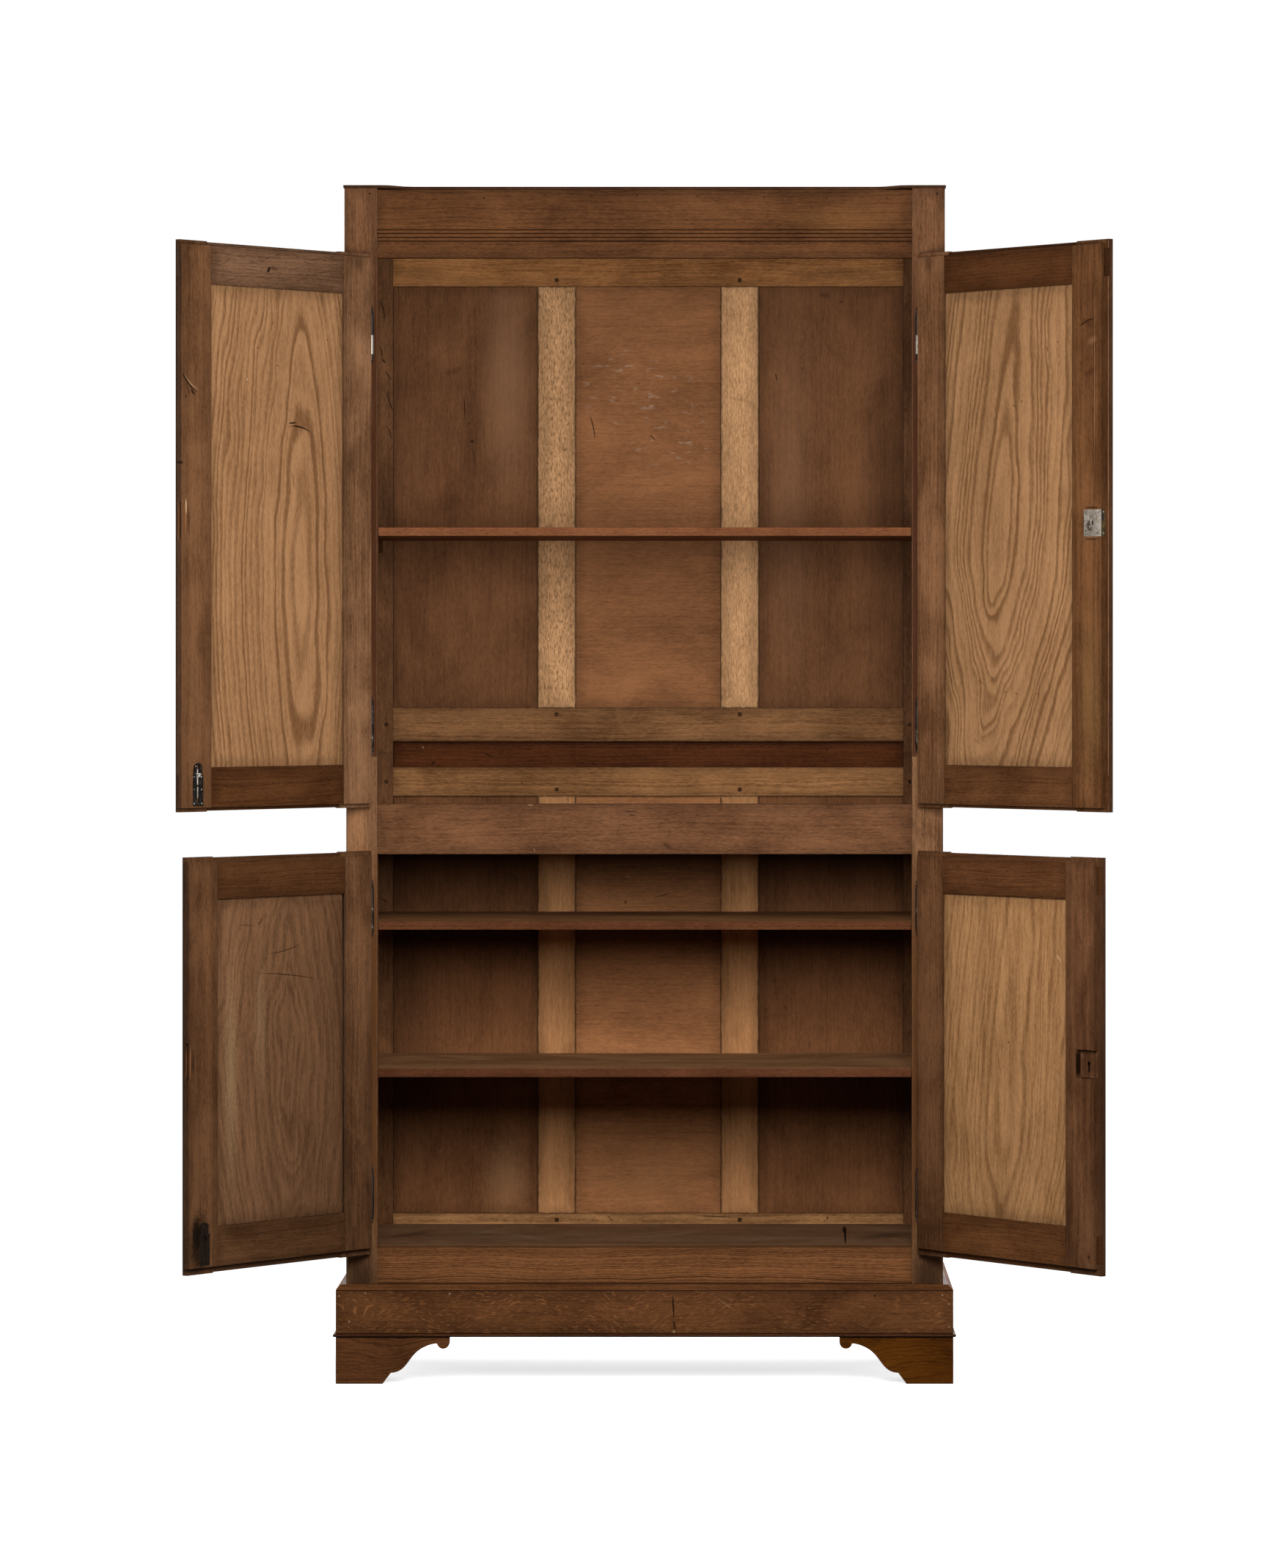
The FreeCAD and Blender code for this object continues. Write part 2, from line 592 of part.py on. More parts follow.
def door_members(stage, hand):
    """Stiles, rails and panel of one door, as solids that meet at tenons and grooves."""
    z0, z1 = {"upper": (UPPER_Z, FRIEZE_Z), "lower": (FLOOR_Z, MID_RAIL_Z)}[stage]
    lip_bottom = {"upper": UPPER_LIP_BOTTOM, "lower": LOWER_LIP_BOTTOM}[stage]
    top_h = {"upper": UPPER_TOP_RAIL_H, "lower": LOWER_TOP_RAIL_H}[stage]
    bottom_h = {"upper": UPPER_BOTTOM_RAIL_H, "lower": LOWER_BOTTOM_RAIL_H}[stage]
    lip_low = z0 - lip_bottom
    lip_high = z1 + LIP_TOP
    in_low = z0 + EDGE_GAP
    in_high = z1 - EDGE_GAP
    sight_x = (INNER_EDGE + HINGE_STILE_W, FREE_EDGE - FREE_STILE_W)
    sight_z = (in_low + bottom_h, in_high - top_h)
    free_lip = FREE_EDGE - MEETING_LIP if hand == "left" else FREE_EDGE + MEETING_LIP
    blank_end = max(FREE_EDGE, free_lip)

    hinge_stile = box(PIVOT_OUT, sight_x[0], DOOR_FRONT, DOOR_BACK, lip_low, lip_high)
    free_stile = box(sight_x[1], blank_end, DOOR_FRONT, DOOR_BACK, lip_low, lip_high)
    tenon_y = DOOR_FRONT + (LIP_T + INNER_T - DOOR_TENON_T) / 2
    rail_spans = (
        (sight_z[1], lip_high - STILE_HORN, in_high - DOOR_TENON_DROP - DOOR_TENON_H),
        (lip_low + STILE_HORN, sight_z[0], in_low + DOOR_TENON_DROP),
    )
    rails = []
    tenons = []
    for low, high, tenon_z in rail_spans:
        body = box(sight_x[0], sight_x[1], DOOR_FRONT, DOOR_BACK, low, high)
        ends = [
            box(sight_x[0] - DOOR_TENON_L, sight_x[0], tenon_y, tenon_y + DOOR_TENON_T,
                tenon_z, tenon_z + DOOR_TENON_H),
            box(sight_x[1], blank_end, tenon_y, tenon_y + DOOR_TENON_T, tenon_z, tenon_z + DOOR_TENON_H),
        ]
        tenons += ends
        rails.append(fused([body] + ends))

    hinge_stile = cut(hinge_stile, tenons)
    free_stile = cut(free_stile, tenons)
    groove = box(sight_x[0] - GROOVE, sight_x[1] + GROOVE, PANEL_FRONT, PANEL_BACK,
                 sight_z[0] - GROOVE, sight_z[1] + GROOVE)
    outside = box(-BIG, BIG, DOOR_STEP, BIG, -BIG, BIG)
    rebate = outside.cut(box(INNER_EDGE, FREE_EDGE, DOOR_STEP, BIG, in_low, in_high))
    trims = [groove, rebate]
    if hand == "left":
        trims.append(box(free_lip, BIG, -BIG, DOOR_STEP, -BIG, BIG))
    hinge_stile, free_stile = [cut(stile, trims) for stile in (hinge_stile, free_stile)]
    rails = [cut(rail, trims) for rail in rails]

    shrunk = PANEL_SHRINK + TONGUE if (stage, hand) == ("lower", "left") else 0.0
    return hinge_stile, free_stile, rails, door_panel(sight_x, sight_z, shrunk)


def door_panel(sight_x, sight_z, shrunk):
    """Panel with a raised field in front and a shallow chamfer along its top and bottom behind."""
    left = sight_x[0] - TONGUE + shrunk
    right = sight_x[1] + TONGUE
    low = sight_z[0] - TONGUE
    high = sight_z[1] + TONGUE
    tongue = box(left, right, PANEL_FRONT, PANEL_BACK, low, high)
    base_left = max(left, sight_x[0])
    field = Part.makeWedge(
        base_left + DOOR_PANEL_BEVEL, PANEL_FRONT - DOOR_PANEL_FIELD, sight_z[0] + DOOR_PANEL_BEVEL,
        sight_z[0], base_left,
        sight_x[1] - DOOR_PANEL_BEVEL, PANEL_FRONT, sight_z[1] - DOOR_PANEL_BEVEL,
        sight_z[1], sight_x[1])
    chamfers = []
    for edge, sight, inward in ((low, sight_z[0], 1), (high, sight_z[1], -1)):
        chamfers.append(prism([
            Vector(left, PANEL_BACK, sight + inward * DOOR_PANEL_CHAMFER),
            Vector(left, PANEL_BACK - DOOR_PANEL_CHAMFER_D, edge),
            Vector(left, PANEL_BACK, edge),
        ], Vector(right - left, 0, 0)))
    return cut(fused([tongue, field]), chamfers)


def lock_seat(width, height, z):
    """Tool for the seat of a lock in the free stile, open at the inner face and the edge."""
    return box(FREE_EDGE - width, BIG, DOOR_BACK - LOCK_DEPTH, BIG, z - height / 2, z + height / 2)


def lock_bolt_box(z, clear):
    """The lock bolt drawn back or, with a clearance, its channel, which is open at the edge of the door."""
    y = DOOR_BACK - LOCK_DEPTH / 2
    end = FREE_EDGE - LOCK_BOLT_CLEAR + 2 * clear
    return box(FREE_EDGE - LOCK_BOLT_L - clear, end,
               y - LOCK_BOLT_T / 2 - clear, y + LOCK_BOLT_T / 2 + clear,
               z + LOCK_BOLT_UP - LOCK_BOLT_H / 2 - clear, z + LOCK_BOLT_UP + LOCK_BOLT_H / 2 + clear)


def lock_case(z):
    """Lock: a flat case let into the inner face and the edge of the door."""
    body = box(FREE_EDGE - LOCK_W, FREE_EDGE, DOOR_BACK - LOCK_DEPTH, DOOR_BACK,
               z - LOCK_H / 2, z + LOCK_H / 2)
    key = rod(LOCK_KEY_R, Vector(FREE_EDGE - KEY_IN, DOOR_BACK - LOCK_DEPTH, z), Vector(0, 1, 0), LOCK_DEPTH)
    return cut(body, [lock_bolt_box(z, LOCK_BOLT_CLEAR), key])


def strike(z):
    """Recess for a lock bolt in the free edge of a left door."""
    y = DOOR_BACK - LOCK_DEPTH / 2
    half = LOCK_BOLT_T / 2 + STRIKE_AIR
    return box(FREE_EDGE - STRIKE_D, FREE_EDGE, y - half, y + half, z - STRIKE_H / 2, z + STRIKE_H / 2)


def flush_bolt(z0):
    """Plate and rod of a flush bolt, and the tool for their seat, above the lower edge z0 of the door."""
    low = z0 + BOLT_PLATE_RISE
    high = low + BOLT_PLATE_H
    knob_z = z0 + BOLT_KNOB_RISE
    plate_front = DOOR_BACK - BOLT_PLATE_T
    head_r = BOLT_PLATE_W / 2
    plate = fused([
        box(BOLT_X - head_r, BOLT_X + head_r, plate_front, DOOR_BACK, low, high - head_r),
        rod(head_r, Vector(BOLT_X, plate_front, high - head_r), Vector(0, 1, 0), BOLT_PLATE_T),
    ])
    slot = box(BOLT_X - BOLT_SLOT_W / 2, BOLT_X + BOLT_SLOT_W / 2, plate_front, DOOR_BACK,
               knob_z - BOLT_TRAVEL - BOLT_KNOB_R - BOLT_CLEAR, knob_z + BOLT_KNOB_R + BOLT_CLEAR)
    shaft_z = z0 + BOLT_CLEAR
    shaft = rod(BOLT_R, Vector(BOLT_X, BOLT_Y, shaft_z), Vector(0, 0, 1), BOLT_L)
    knob = rod(BOLT_KNOB_R, Vector(BOLT_X, BOLT_Y, knob_z), Vector(0, 1, 0),
               DOOR_BACK + BOLT_KNOB_OUT - BOLT_Y)
    bore = rod(BOLT_R + BOLT_CLEAR, Vector(BOLT_X, BOLT_Y, z0 - BOLT_END_AIR), Vector(0, 0, 1),
               BOLT_L + 2 * BOLT_END_AIR)
    pocket = box(BOLT_X - BOLT_SLOT_W / 2, BOLT_X + BOLT_SLOT_W / 2, BOLT_Y, plate_front,
                 knob_z - BOLT_TRAVEL - BOLT_KNOB_R - BOLT_CLEAR, knob_z + BOLT_KNOB_R + BOLT_CLEAR)
    return cut(plate, [slot]), fused([shaft, knob]), [plate, bore, pocket]


# Placing the doors

def placed(shape, stage, hand):
    """A door piece moved to its pin and swung open."""
    angle = {"upper": UPPER_OPEN_ANGLE, "lower": LOWER_OPEN_ANGLE}[stage]
    if hand == "right":
        shape = mirrored(shape)
    else:
        angle = -angle
    shape = shape.copy()
    shape.rotate(Vector(0, PIVOT_Y, 0), Vector(0, 0, 1), angle)
    side = -PIVOT_X if hand == "left" else PIVOT_X
    return shape.translated(Vector(side, 0, 0))


def build_doors(nodes):
    """The four doors with their hinge halves, bolts and lock."""
    for stage, z0 in (("upper", UPPER_Z), ("lower", FLOOR_Z)):
        lock_z = z0 + {"upper": LOCK_RISE, "lower": LOCK_SEAT_RISE}[stage]
        for hand in ("left", "right"):
            hinge_stile, free_stile, rails, panel = door_members(stage, hand)
            hinge_stile = cut(hinge_stile, [door_leaf_tool(z) for z in HINGE_LEVELS[stage]])
            extra = {}
            if hand == "left":
                plate, shaft, seat = flush_bolt(z0 + EDGE_GAP)
                free_stile = cut(free_stile, seat + [strike(lock_z + LOCK_BOLT_UP / 2)])
                rails = [cut(rail, seat) for rail in rails]
                extra = {stage + "_bolt_plate": [plate], stage + "_bolt_rod": [shaft]}
            elif stage == "upper":
                free_stile = cut(free_stile, [lock_seat(LOCK_W, LOCK_H, lock_z), keyhole(lock_z)])
                bolt = lock_bolt_box(lock_z, 0)
                extra = {"lock_case": [lock_case(lock_z)], "lock_bolt": [bolt]}
            else:
                free_stile = cut(free_stile, [lock_seat(LOCK_SEAT_W, LOCK_SEAT_H, lock_z), keyhole(lock_z)])
            name = stage + "_" + hand + "_door_"
            pieces = {
                name + "hinge_stile": [hinge_stile],
                name + "free_stile": [free_stile],
                name + "rails": rails,
                name + "panel": [panel],
                name + "hinges": [door_hinge_half(z) for z in HINGE_LEVELS[stage]],
            }
            pieces.update(extra)
            for node, shapes in pieces.items():
                nodes[node] = [placed(shape, stage, hand) for shape in shapes]


def build_case(nodes):
    """Everything that stands still."""
    front_board, side_boards, back_board = plinth_boards()
    nodes["plinth_front_board"] = [front_board]
    nodes["plinth_side_boards"] = side_boards
    nodes["plinth_back_board"] = [back_board]
    nodes["plinth_cap"] = plinth_cap()
    nodes["plinth_bead"] = plinth_bead()
    nodes["left_front_foot"] = front_foot()
    nodes["right_front_foot"] = [mirrored(shape) for shape in front_foot()]
    nodes["back_feet"] = back_feet()

    socket_deep = BOLT_TRAVEL + BOLT_END_AIR
    socket = rod(BOLT_SOCKET_R, Vector(BOLT_X - PIVOT_X, BOLT_Y, -socket_deep), Vector(0, 0, 1), socket_deep)
    bottom_rail, bottom_tenons = front_rail(CASE_Z, FLOOR_Z, FRONT_RAIL_T)
    mid_rail, mid_tenons = front_rail(MID_RAIL_Z, UPPER_Z, FRONT_RAIL_T)
    nodes["bottom_rail"] = [cut(bottom_rail, [socket.translated(Vector(0, 0, FLOOR_Z))])]
    nodes["mid_rail"] = [cut(mid_rail, [socket.translated(Vector(0, 0, UPPER_Z))])]
    frieze_board, frieze_tenons = frieze()
    nodes["frieze"] = [frieze_board]
    nodes["top_board"] = [top_board()]

    stages = {
        "lower": (LOWER_HALF, CASE_Z, JOIN_Z, bottom_tenons + mid_tenons, (
            CASE_Z, CASE_Z + LOWER_BACK_BOTTOM_H, LOWER_BACK_TOP - LOWER_BACK_TOP_H, LOWER_BACK_TOP)),
        "upper": (UPPER_HALF, JOIN_Z, POST_TOP, frieze_tenons, (
            UPPER_BACK_Z, UPPER_BACK_Z + UPPER_BACK_BOTTOM_H, FRIEZE_TOP - UPPER_BACK_TOP_H, FRIEZE_TOP)),
    }
    pegs = []
    for stage, (half, z0, z1, front_tenons, levels) in stages.items():
        side_rails, side_panel, side_tools = side_frame(half, z0, z1)
        rails, muntins, panels, back_tools = back_frame(levels)
        stage_pegs = back_pegs(levels)
        pegs += stage_pegs
        leaf_slots = [case_leaf_tool(z).translated(Vector(-PIVOT_X, 0, 0)) for z in HINGE_LEVELS[stage]]
        front_post = box(-half, -OPENING_HALF, 0, FRONT_POST_T, z0, z1)
        if stage == "lower":
            front_post = front_post.cut(prism([
                Vector(-half, 0, z0),
                Vector(-half + LOWER_CHAMFER, 0, z0),
                Vector(-half, LOWER_CHAMFER, z0),
            ], Vector(0, 0, z1 - z0)))
        front_post = cut(front_post, front_tenons + side_tools + leaf_slots)
        back_post = box(-half, -BACK_HALF, INNER_DEPTH, CASE_BACK, z0, z1)
        back_post = cut(back_post, back_tools + side_tools + stage_pegs)
        nodes[stage + "_front_posts"] = both_sides(front_post)
        nodes[stage + "_back_posts"] = both_sides(back_post)
        nodes[stage + "_side_rails"] = [twin for rail in side_rails for twin in both_sides(rail)]
        nodes[stage + "_side_panels"] = both_sides(side_panel)
        nodes[stage + "_back_rails"] = [cut(rail, stage_pegs) for rail in rails]
        nodes[stage + "_back_muntins"] = [cut(muntin, stage_pegs) for muntin in muntins]
        nodes[stage + "_back_panels"] = panels
    nodes["back_pegs"] = pegs

    strip_back = INNER_DEPTH + BACK_FRAME_T
    nodes["join_strip"] = [box(-BACK_HALF, BACK_HALF, strip_back, strip_back + JOIN_STRIP_T,
                               LOWER_BACK_TOP - JOIN_STRIP_LAP, UPPER_BACK_Z + JOIN_STRIP_LAP)]
    upper_floor_z = UPPER_Z - UPPER_FLOOR_DROP
    nodes["floor_boards"] = [
        notched_board(LOWER_HALF + SHELF_SIDE_GAP, FRONT_RAIL_T, FLOOR_Z, BOTTOM_BOARD_T),
        notched_board(LOWER_HALF, FRONT_RAIL_T, upper_floor_z, SHELF_T),
    ]
    nodes["shelf_cleats"] = cleats(LOWER_HALF, upper_floor_z - SHELF_T)
    shelves = (
        ("lower_shelf", LOWER_HALF, FLOOR_Z + LOWER_SHELF_RISE),
        ("middle_shelf", LOWER_HALF, FLOOR_Z + MIDDLE_SHELF_RISE),
        ("upper_shelf", UPPER_HALF, UPPER_Z + UPPER_SHELF_RISE),
    )
    for name, half, z_top in shelves:
        nodes[name] = [notched_board(half, SHELF_SETBACK, z_top, SHELF_T)]
        nodes["shelf_cleats"] += cleats(half, z_top - SHELF_T)
    nodes["case_hinges"] = []
    for levels in HINGE_LEVELS.values():
        for z in levels:
            half = case_hinge_half(z).translated(Vector(-PIVOT_X, 0, 0))
            nodes["case_hinges"] += both_sides(half)


def build():
    """All nodes in their final place: a dictionary of solids by node name, and the shift in Y."""
    nodes = {}
    build_case(nodes)
    build_doors(nodes)
    whole = Part.makeCompound([shape for shapes in nodes.values() for shape in shapes]).BoundBox
    shift = -(whole.YMin + whole.YMax) / 2
    for node, shapes in nodes.items():
        nodes[node] = [shape.translated(Vector(0, shift, 0)) for shape in shapes]
    return nodes, shift


def main():
    """Write one STEP file for each node."""
    os.makedirs("parts", exist_ok=True)
    nodes, shift = build()
    for node, shapes in nodes.items():
        for shape in shapes:
            for solid in shape.Solids:
                if not solid.isValid() or solid.Volume <= 0:
                    print("invalid solid in", node)
        solids = [solid for shape in shapes for solid in shape.Solids]
        whole = solids[0] if len(solids) == 1 else Part.makeCompound(solids)
        whole.exportStep("parts/" + node + ".step")
    count = sum(len(shapes) for shapes in nodes.values())
    print(len(nodes), "nodes,", count, "pieces, shift", round(shift, 3))


main()
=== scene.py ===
"""Visual model of a two-stage oak linen press with its doors standing open.

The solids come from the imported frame. This script dresses every board and fitting, adds the small
fittings, and sets up a plain studio. All lengths are metres in the frame's own axes: +Z is up, the
front faces -Y and +X is the viewer's right.
"""
from __future__ import annotations

import json
import logging
import math
from dataclasses import dataclass, field, replace
from enum import Enum
from typing import Callable, Mapping, Optional, Sequence, Union

import bpy
from mathutils import Matrix, Vector

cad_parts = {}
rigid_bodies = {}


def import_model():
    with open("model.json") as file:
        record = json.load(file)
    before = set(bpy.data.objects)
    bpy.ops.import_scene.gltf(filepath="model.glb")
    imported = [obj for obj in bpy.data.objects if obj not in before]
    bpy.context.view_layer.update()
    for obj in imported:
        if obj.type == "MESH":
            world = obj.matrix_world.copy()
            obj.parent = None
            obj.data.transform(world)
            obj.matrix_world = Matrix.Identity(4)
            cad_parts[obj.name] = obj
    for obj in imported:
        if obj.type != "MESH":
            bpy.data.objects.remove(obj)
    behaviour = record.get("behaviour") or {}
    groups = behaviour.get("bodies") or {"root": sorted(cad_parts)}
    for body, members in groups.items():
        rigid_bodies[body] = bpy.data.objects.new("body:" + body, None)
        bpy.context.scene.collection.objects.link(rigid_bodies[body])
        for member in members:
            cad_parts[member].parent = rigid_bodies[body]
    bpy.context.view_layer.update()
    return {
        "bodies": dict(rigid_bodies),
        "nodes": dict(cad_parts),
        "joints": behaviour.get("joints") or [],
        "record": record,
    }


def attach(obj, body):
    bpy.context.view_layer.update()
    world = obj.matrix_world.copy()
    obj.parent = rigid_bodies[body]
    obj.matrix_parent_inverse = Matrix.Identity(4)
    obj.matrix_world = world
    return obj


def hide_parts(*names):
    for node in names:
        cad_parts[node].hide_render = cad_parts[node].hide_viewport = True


log = logging.getLogger("linen_press")

SHIFT_Y = -0.036971          # the case's front plane
PIN_X = 0.484                # hinge pins, either side of the centre line
PIN_Y = -0.042371
UPPER_OPEN = math.radians(130.4)
LOWER_OPEN = math.radians(128.4)
SEED_STEP = 0.83             # how far apart two nodes lie in the noise
NEXT_BOARD_SEED = 3.7        # the same for two boards of one node
OTHER_SEED = 5.0             # the same for the second look of a node
ARRIS = 0.0007               # width of the boards' eased edges
SHARP = 32.0                 # degrees from which an edge is sharp
FITTING_SHARP = 40.0         # the same for the edges of a fitting that are eased
COPLANAR = 0.5               # degrees up to which two faces count as one
WELD = 0.00001               # metres up to which two vertices count as one
ACROSS_ALL = 8.0             # length of a mark that runs past both ends of a board
INWARDS = Matrix.Rotation(-math.pi / 2, 4, "X")      # turns +Z to a flat door's inner face
OUTWARDS = Matrix.Rotation(math.pi / 2, 4, "Y")      # turns +Z to a flat door's free edge


def tone(code: str) -> tuple[float, float, float, float]:
    """Turn a written colour into the linear one that a shader takes.

    Args:
        code: Six hexadecimal digits, red first.

    Returns:
        Linear red, green, blue and an alpha of 1.
    """
    parts = []
    for start in (0, 2, 4):
        value = int(code[start:start + 2], 16) / 255.0
        value = value / 12.92 if value <= 0.04045 else ((value + 0.055) / 1.055) ** 2.4
        parts.append(value)
    return (parts[0], parts[1], parts[2], 1.0)


# -------------------- shader maths

def math_operator(operation: str, flipped: bool = False) -> Callable[["Value", "Number"], "Value"]:
    """Make an operator that adds one Math node.

    Args:
        operation: What the node does.
        flipped: Whether the value is the second input.

    Returns:
        The operator's method.
    """
    def apply(value: "Value", other: "Number") -> "Value":
        """Add the node."""
        pair = (other, value) if flipped else (value, other)
        return value.finish.math(operation, *pair)

    return apply


class Value:
    """One number, vector or colour that changes over a surface; arithmetic adds Math nodes."""

    def __init__(self, finish: "Finish", socket: bpy.types.NodeSocket) -> None:
        """Keep the finish that the socket belongs to."""
        self.finish = finish
        self.socket = socket

    def math(self, operation: str, *others: "Number") -> "Value":
        """Add a Math node whose first input is this value."""
        return self.finish.math(operation, self, *others)

    def __abs__(self) -> "Value":
        """Distance from zero."""
        return self.finish.math("ABSOLUTE", self)

    __add__ = math_operator("ADD")
    __radd__ = math_operator("ADD", flipped=True)
    __sub__ = math_operator("SUBTRACT")
    __rsub__ = math_operator("SUBTRACT", flipped=True)
    __mul__ = math_operator("MULTIPLY")
    __gt__ = math_operator("GREATER_THAN")


Number = Union[Value, float, int]
Setting = Union[Value, float, int, str, tuple]


class Finish:
    """A material while its nodes are being put together."""

    def __init__(self, name: str) -> None:
        """Start an empty node tree."""
        self.material = bpy.data.materials.new(name)
        self.material.use_nodes = True
        self.tree = self.material.node_tree
        self.tree.nodes.clear()

    def node(self, kind: str, settings: Optional[Mapping[str, object]] = None,
             values: Optional[Mapping[Union[str, int], Setting]] = None) -> bpy.types.Node:
        """Add one node.

        Args:
            kind: The node's type, without its ShaderNode prefix.
            settings: Attributes, set before the sockets; "stops" are a ramp's places and colours.
            values: A value, colour or link for each input, by its name or its place.

        Returns:
            The node.
        """
        made = self.tree.nodes.new("ShaderNode" + kind)
        for name, setting in (settings or {}).items():
            if name == "stops":
                ramp = made.color_ramp.elements
                while len(ramp) < len(setting):
                    ramp.new(0.5)
                for element, (position, colour) in zip(ramp, setting):
                    element.position = position
                    element.color = colour if isinstance(colour, tuple) else (colour,) * 3 + (1.0,)
            else:
                setattr(made, name, setting)
        for name, value in (values or {}).items():
            if isinstance(name, int):
                socket = made.inputs[name]
            else:
                socket = next(s for s in made.inputs if s.name == name and s.enabled)
            if isinstance(value, Value):
                self.tree.links.new(value.socket, socket)
            elif isinstance(value, str):
                socket.default_value = tone(value)
            else:
                socket.default_value = value
        return made

    def out(self, made: bpy.types.Node, name: Union[str, int] = 0) -> Value:
        """Give one output of a node as a value."""
        if isinstance(name, int):
            return Value(self, made.outputs[name])
        return Value(self, next(s for s in made.outputs if s.name == name and s.enabled))

    def math(self, operation: str, *parts: Number) -> Value:
        """Add a Math node with its inputs in order."""
        return self.out(self.node("Math", {"operation": operation}, dict(enumerate(parts))))

    def span(self, value: Number, low: float, high: float, to_low: Number = 0.0,
             to_high: Number = 1.0) -> Value:
        """Stretch a part of a value's range, eased and clamped at its ends.

        Args:
            value: The value.
            low: Where the range starts.
            high: Where it ends; it may be the lower number.
            to_low: Result at the start.
            to_high: Result at the end.

        Returns:
            The stretched value.
        """
        return self.out(self.node(
            "MapRange", {"interpolation_type": "SMOOTHSTEP"},
            {"Value": value, "From Min": low, "From Max": high, "To Min": to_low,
             "To Max": to_high}))

    def mix(self, share: Number, first: Setting, second: Setting) -> Value:
        """Mix two colours.

        Args:
            share: How much of the second shows.
            first: The colour below.
            second: The colour on top.

        Returns:
            The mixed colour.
        """
        made = self.node("Mix", {"data_type": "RGBA", "clamp_factor": True},
                         {"Factor": share, "A": first, "B": second})
        return self.out(made, "Result")

    def noise(self, vector: Value, detail: float = 2.0, rough: float = 0.5,
              twist: float = 0.0) -> Value:
        """Cloudy noise from 0 to 1 with a middle of 0.5.

        Args:
            vector: Where to read it, already scaled.
            detail: Octaves.
            rough: Weight of the finer octaves.
            twist: How much the noise is folded into itself.

        Returns:
            The noise.
        """
        made = self.node("TexNoise", {"noise_dimensions": "3D"},
                         {"Vector": vector, "Scale": 1.0, "Detail": detail, "Roughness": rough,
                          "Distortion": twist})
        return self.out(made)

    def split(self, vector: Value) -> tuple[Value, Value, Value]:
        """Take a vector apart."""
        made = self.node("SeparateXYZ", None, {0: vector})
        return self.out(made, 0), self.out(made, 1), self.out(made, 2)

    def join(self, *parts: Number) -> Value:
        """Put three numbers together as a vector."""
        return self.out(self.node("CombineXYZ", None, dict(enumerate(parts))))

    def stretch(self, vector: Value, factors: tuple[float, float, float]) -> Value:
        """Multiply a vector or colour by three factors."""
        return self.out(self.node("VectorMath", {"operation": "MULTIPLY"}, {0: vector, 1: factors}))

    def object_place(self) -> Value:
        """The point's place on its object."""
        return self.out(self.node("TexCoord"), "Object")

    def close(self, colour: Setting, rough: Number, height: Optional[Value] = None,
              bump: float = 0.3, depth: float = 0.0004, **sockets: Setting) -> bpy.types.Material:
        """Finish the material with one surface shader.

        Args:
            colour: Base colour.
            rough: Roughness.
            height: Relief for the bump.
            bump: Strength of the bump.
            depth: Height of the relief in metres.
            sockets: Other inputs of the shader, with underscores for spaces.

        Returns:
            The finished material.
        """
        values: dict[Union[str, int], Setting] = {"Base Color": colour, "Roughness": rough}
        values.update({name.replace("_", " "): value for name, value in sockets.items()})
        if height is not None:
            made = self.node("Bump", None, {"Strength": bump, "Distance": depth, "Height": height})
            values["Normal"] = self.out(made)
        shader = self.node("BsdfPrincipled", None, values)
        self.node("OutputMaterial", None, {"Surface": self.out(shader)})
        return self.material


# -------------------- wood

class Grain(Enum):
    """Which way a board lies: the axes that run across the board, into it and along its grain."""

    UPRIGHT = (0, 1, 2)
    LEVEL = (2, 1, 0)
    SHELF = (1, 2, 0)
    SIDE_UPRIGHT = (1, 0, 2)
    SIDE_LEVEL = (2, 0, 1)


@dataclass(frozen=True)
class Leaf:
    """The turned axes of an open door: across runs from the pin to the free edge."""

    left: bool
    upper: bool

    @property
    def side(self) -> float:
        """Minus one for a left door, one for a right one."""
        return -1.0 if self.left else 1.0

    @property
    def turn(self) -> float:
        """How far it stands open, counted about +Z."""
        return self.side * (UPPER_OPEN if self.upper else LOWER_OPEN)

    @property
    def pin(self) -> Vector:
        """The foot of its pin."""
        return Vector((self.side * PIN_X, PIN_Y, 0.0))

    @property
    def stage(self) -> str:
        """The stage that it closes."""
        return "upper" if self.upper else "lower"

    @property
    def name(self) -> str:
        """The door's name."""
        return f"{self.stage}_{'left' if self.left else 'right'}_door"

    def place(self, finish: Finish, vector: Value) -> Value:
        """Turn a place on the door into one on the door as if it lay flat.

        Args:
            finish: The material being made.
            vector: The place in the frame's axes.

        Returns:
            Distance from the pin, distance behind the pin and height.
        """
        made = finish.node("Mapping", {"vector_type": "TEXTURE"}, {
            "Vector": vector, "Location": self.pin, "Rotation": (0.0, 0.0, self.turn),
            "Scale": (-self.side, 1.0, 1.0)})
        return finish.out(made)

    def frame(self) -> Matrix:
        """Give the turn from the door lying flat to the open door."""
        swung = Matrix.Translation(self.pin) @ Matrix.Rotation(self.turn, 4, "Z")
        return swung @ Matrix.Diagonal((-self.side, 1.0, 1.0, 1.0))

    def flat(self, spot: Vector) -> Vector:
        """Turn one point on the door into one on the door as if it lay flat."""
        moved = Matrix.Rotation(-self.turn, 3, "Z") @ (spot - self.pin)
        return Vector((moved.x * -self.side, moved.y, moved.z))


@dataclass
class Place:
    """Where a point lies in its board: across it, into it and along its grain."""

    finish: Finish
    across: Value
    depth: Value
    along: Value
    seed: float = 0.0
    vector: Optional[Value] = None

    def stretched(self, across: float, along: float) -> Value:
        """The place scaled for a noise that is drawn out along the grain."""
        if self.vector is None:
            self.vector = self.finish.join(self.across, self.depth, self.along + self.seed)
        return self.finish.stretch(self.vector, (across, across, along))


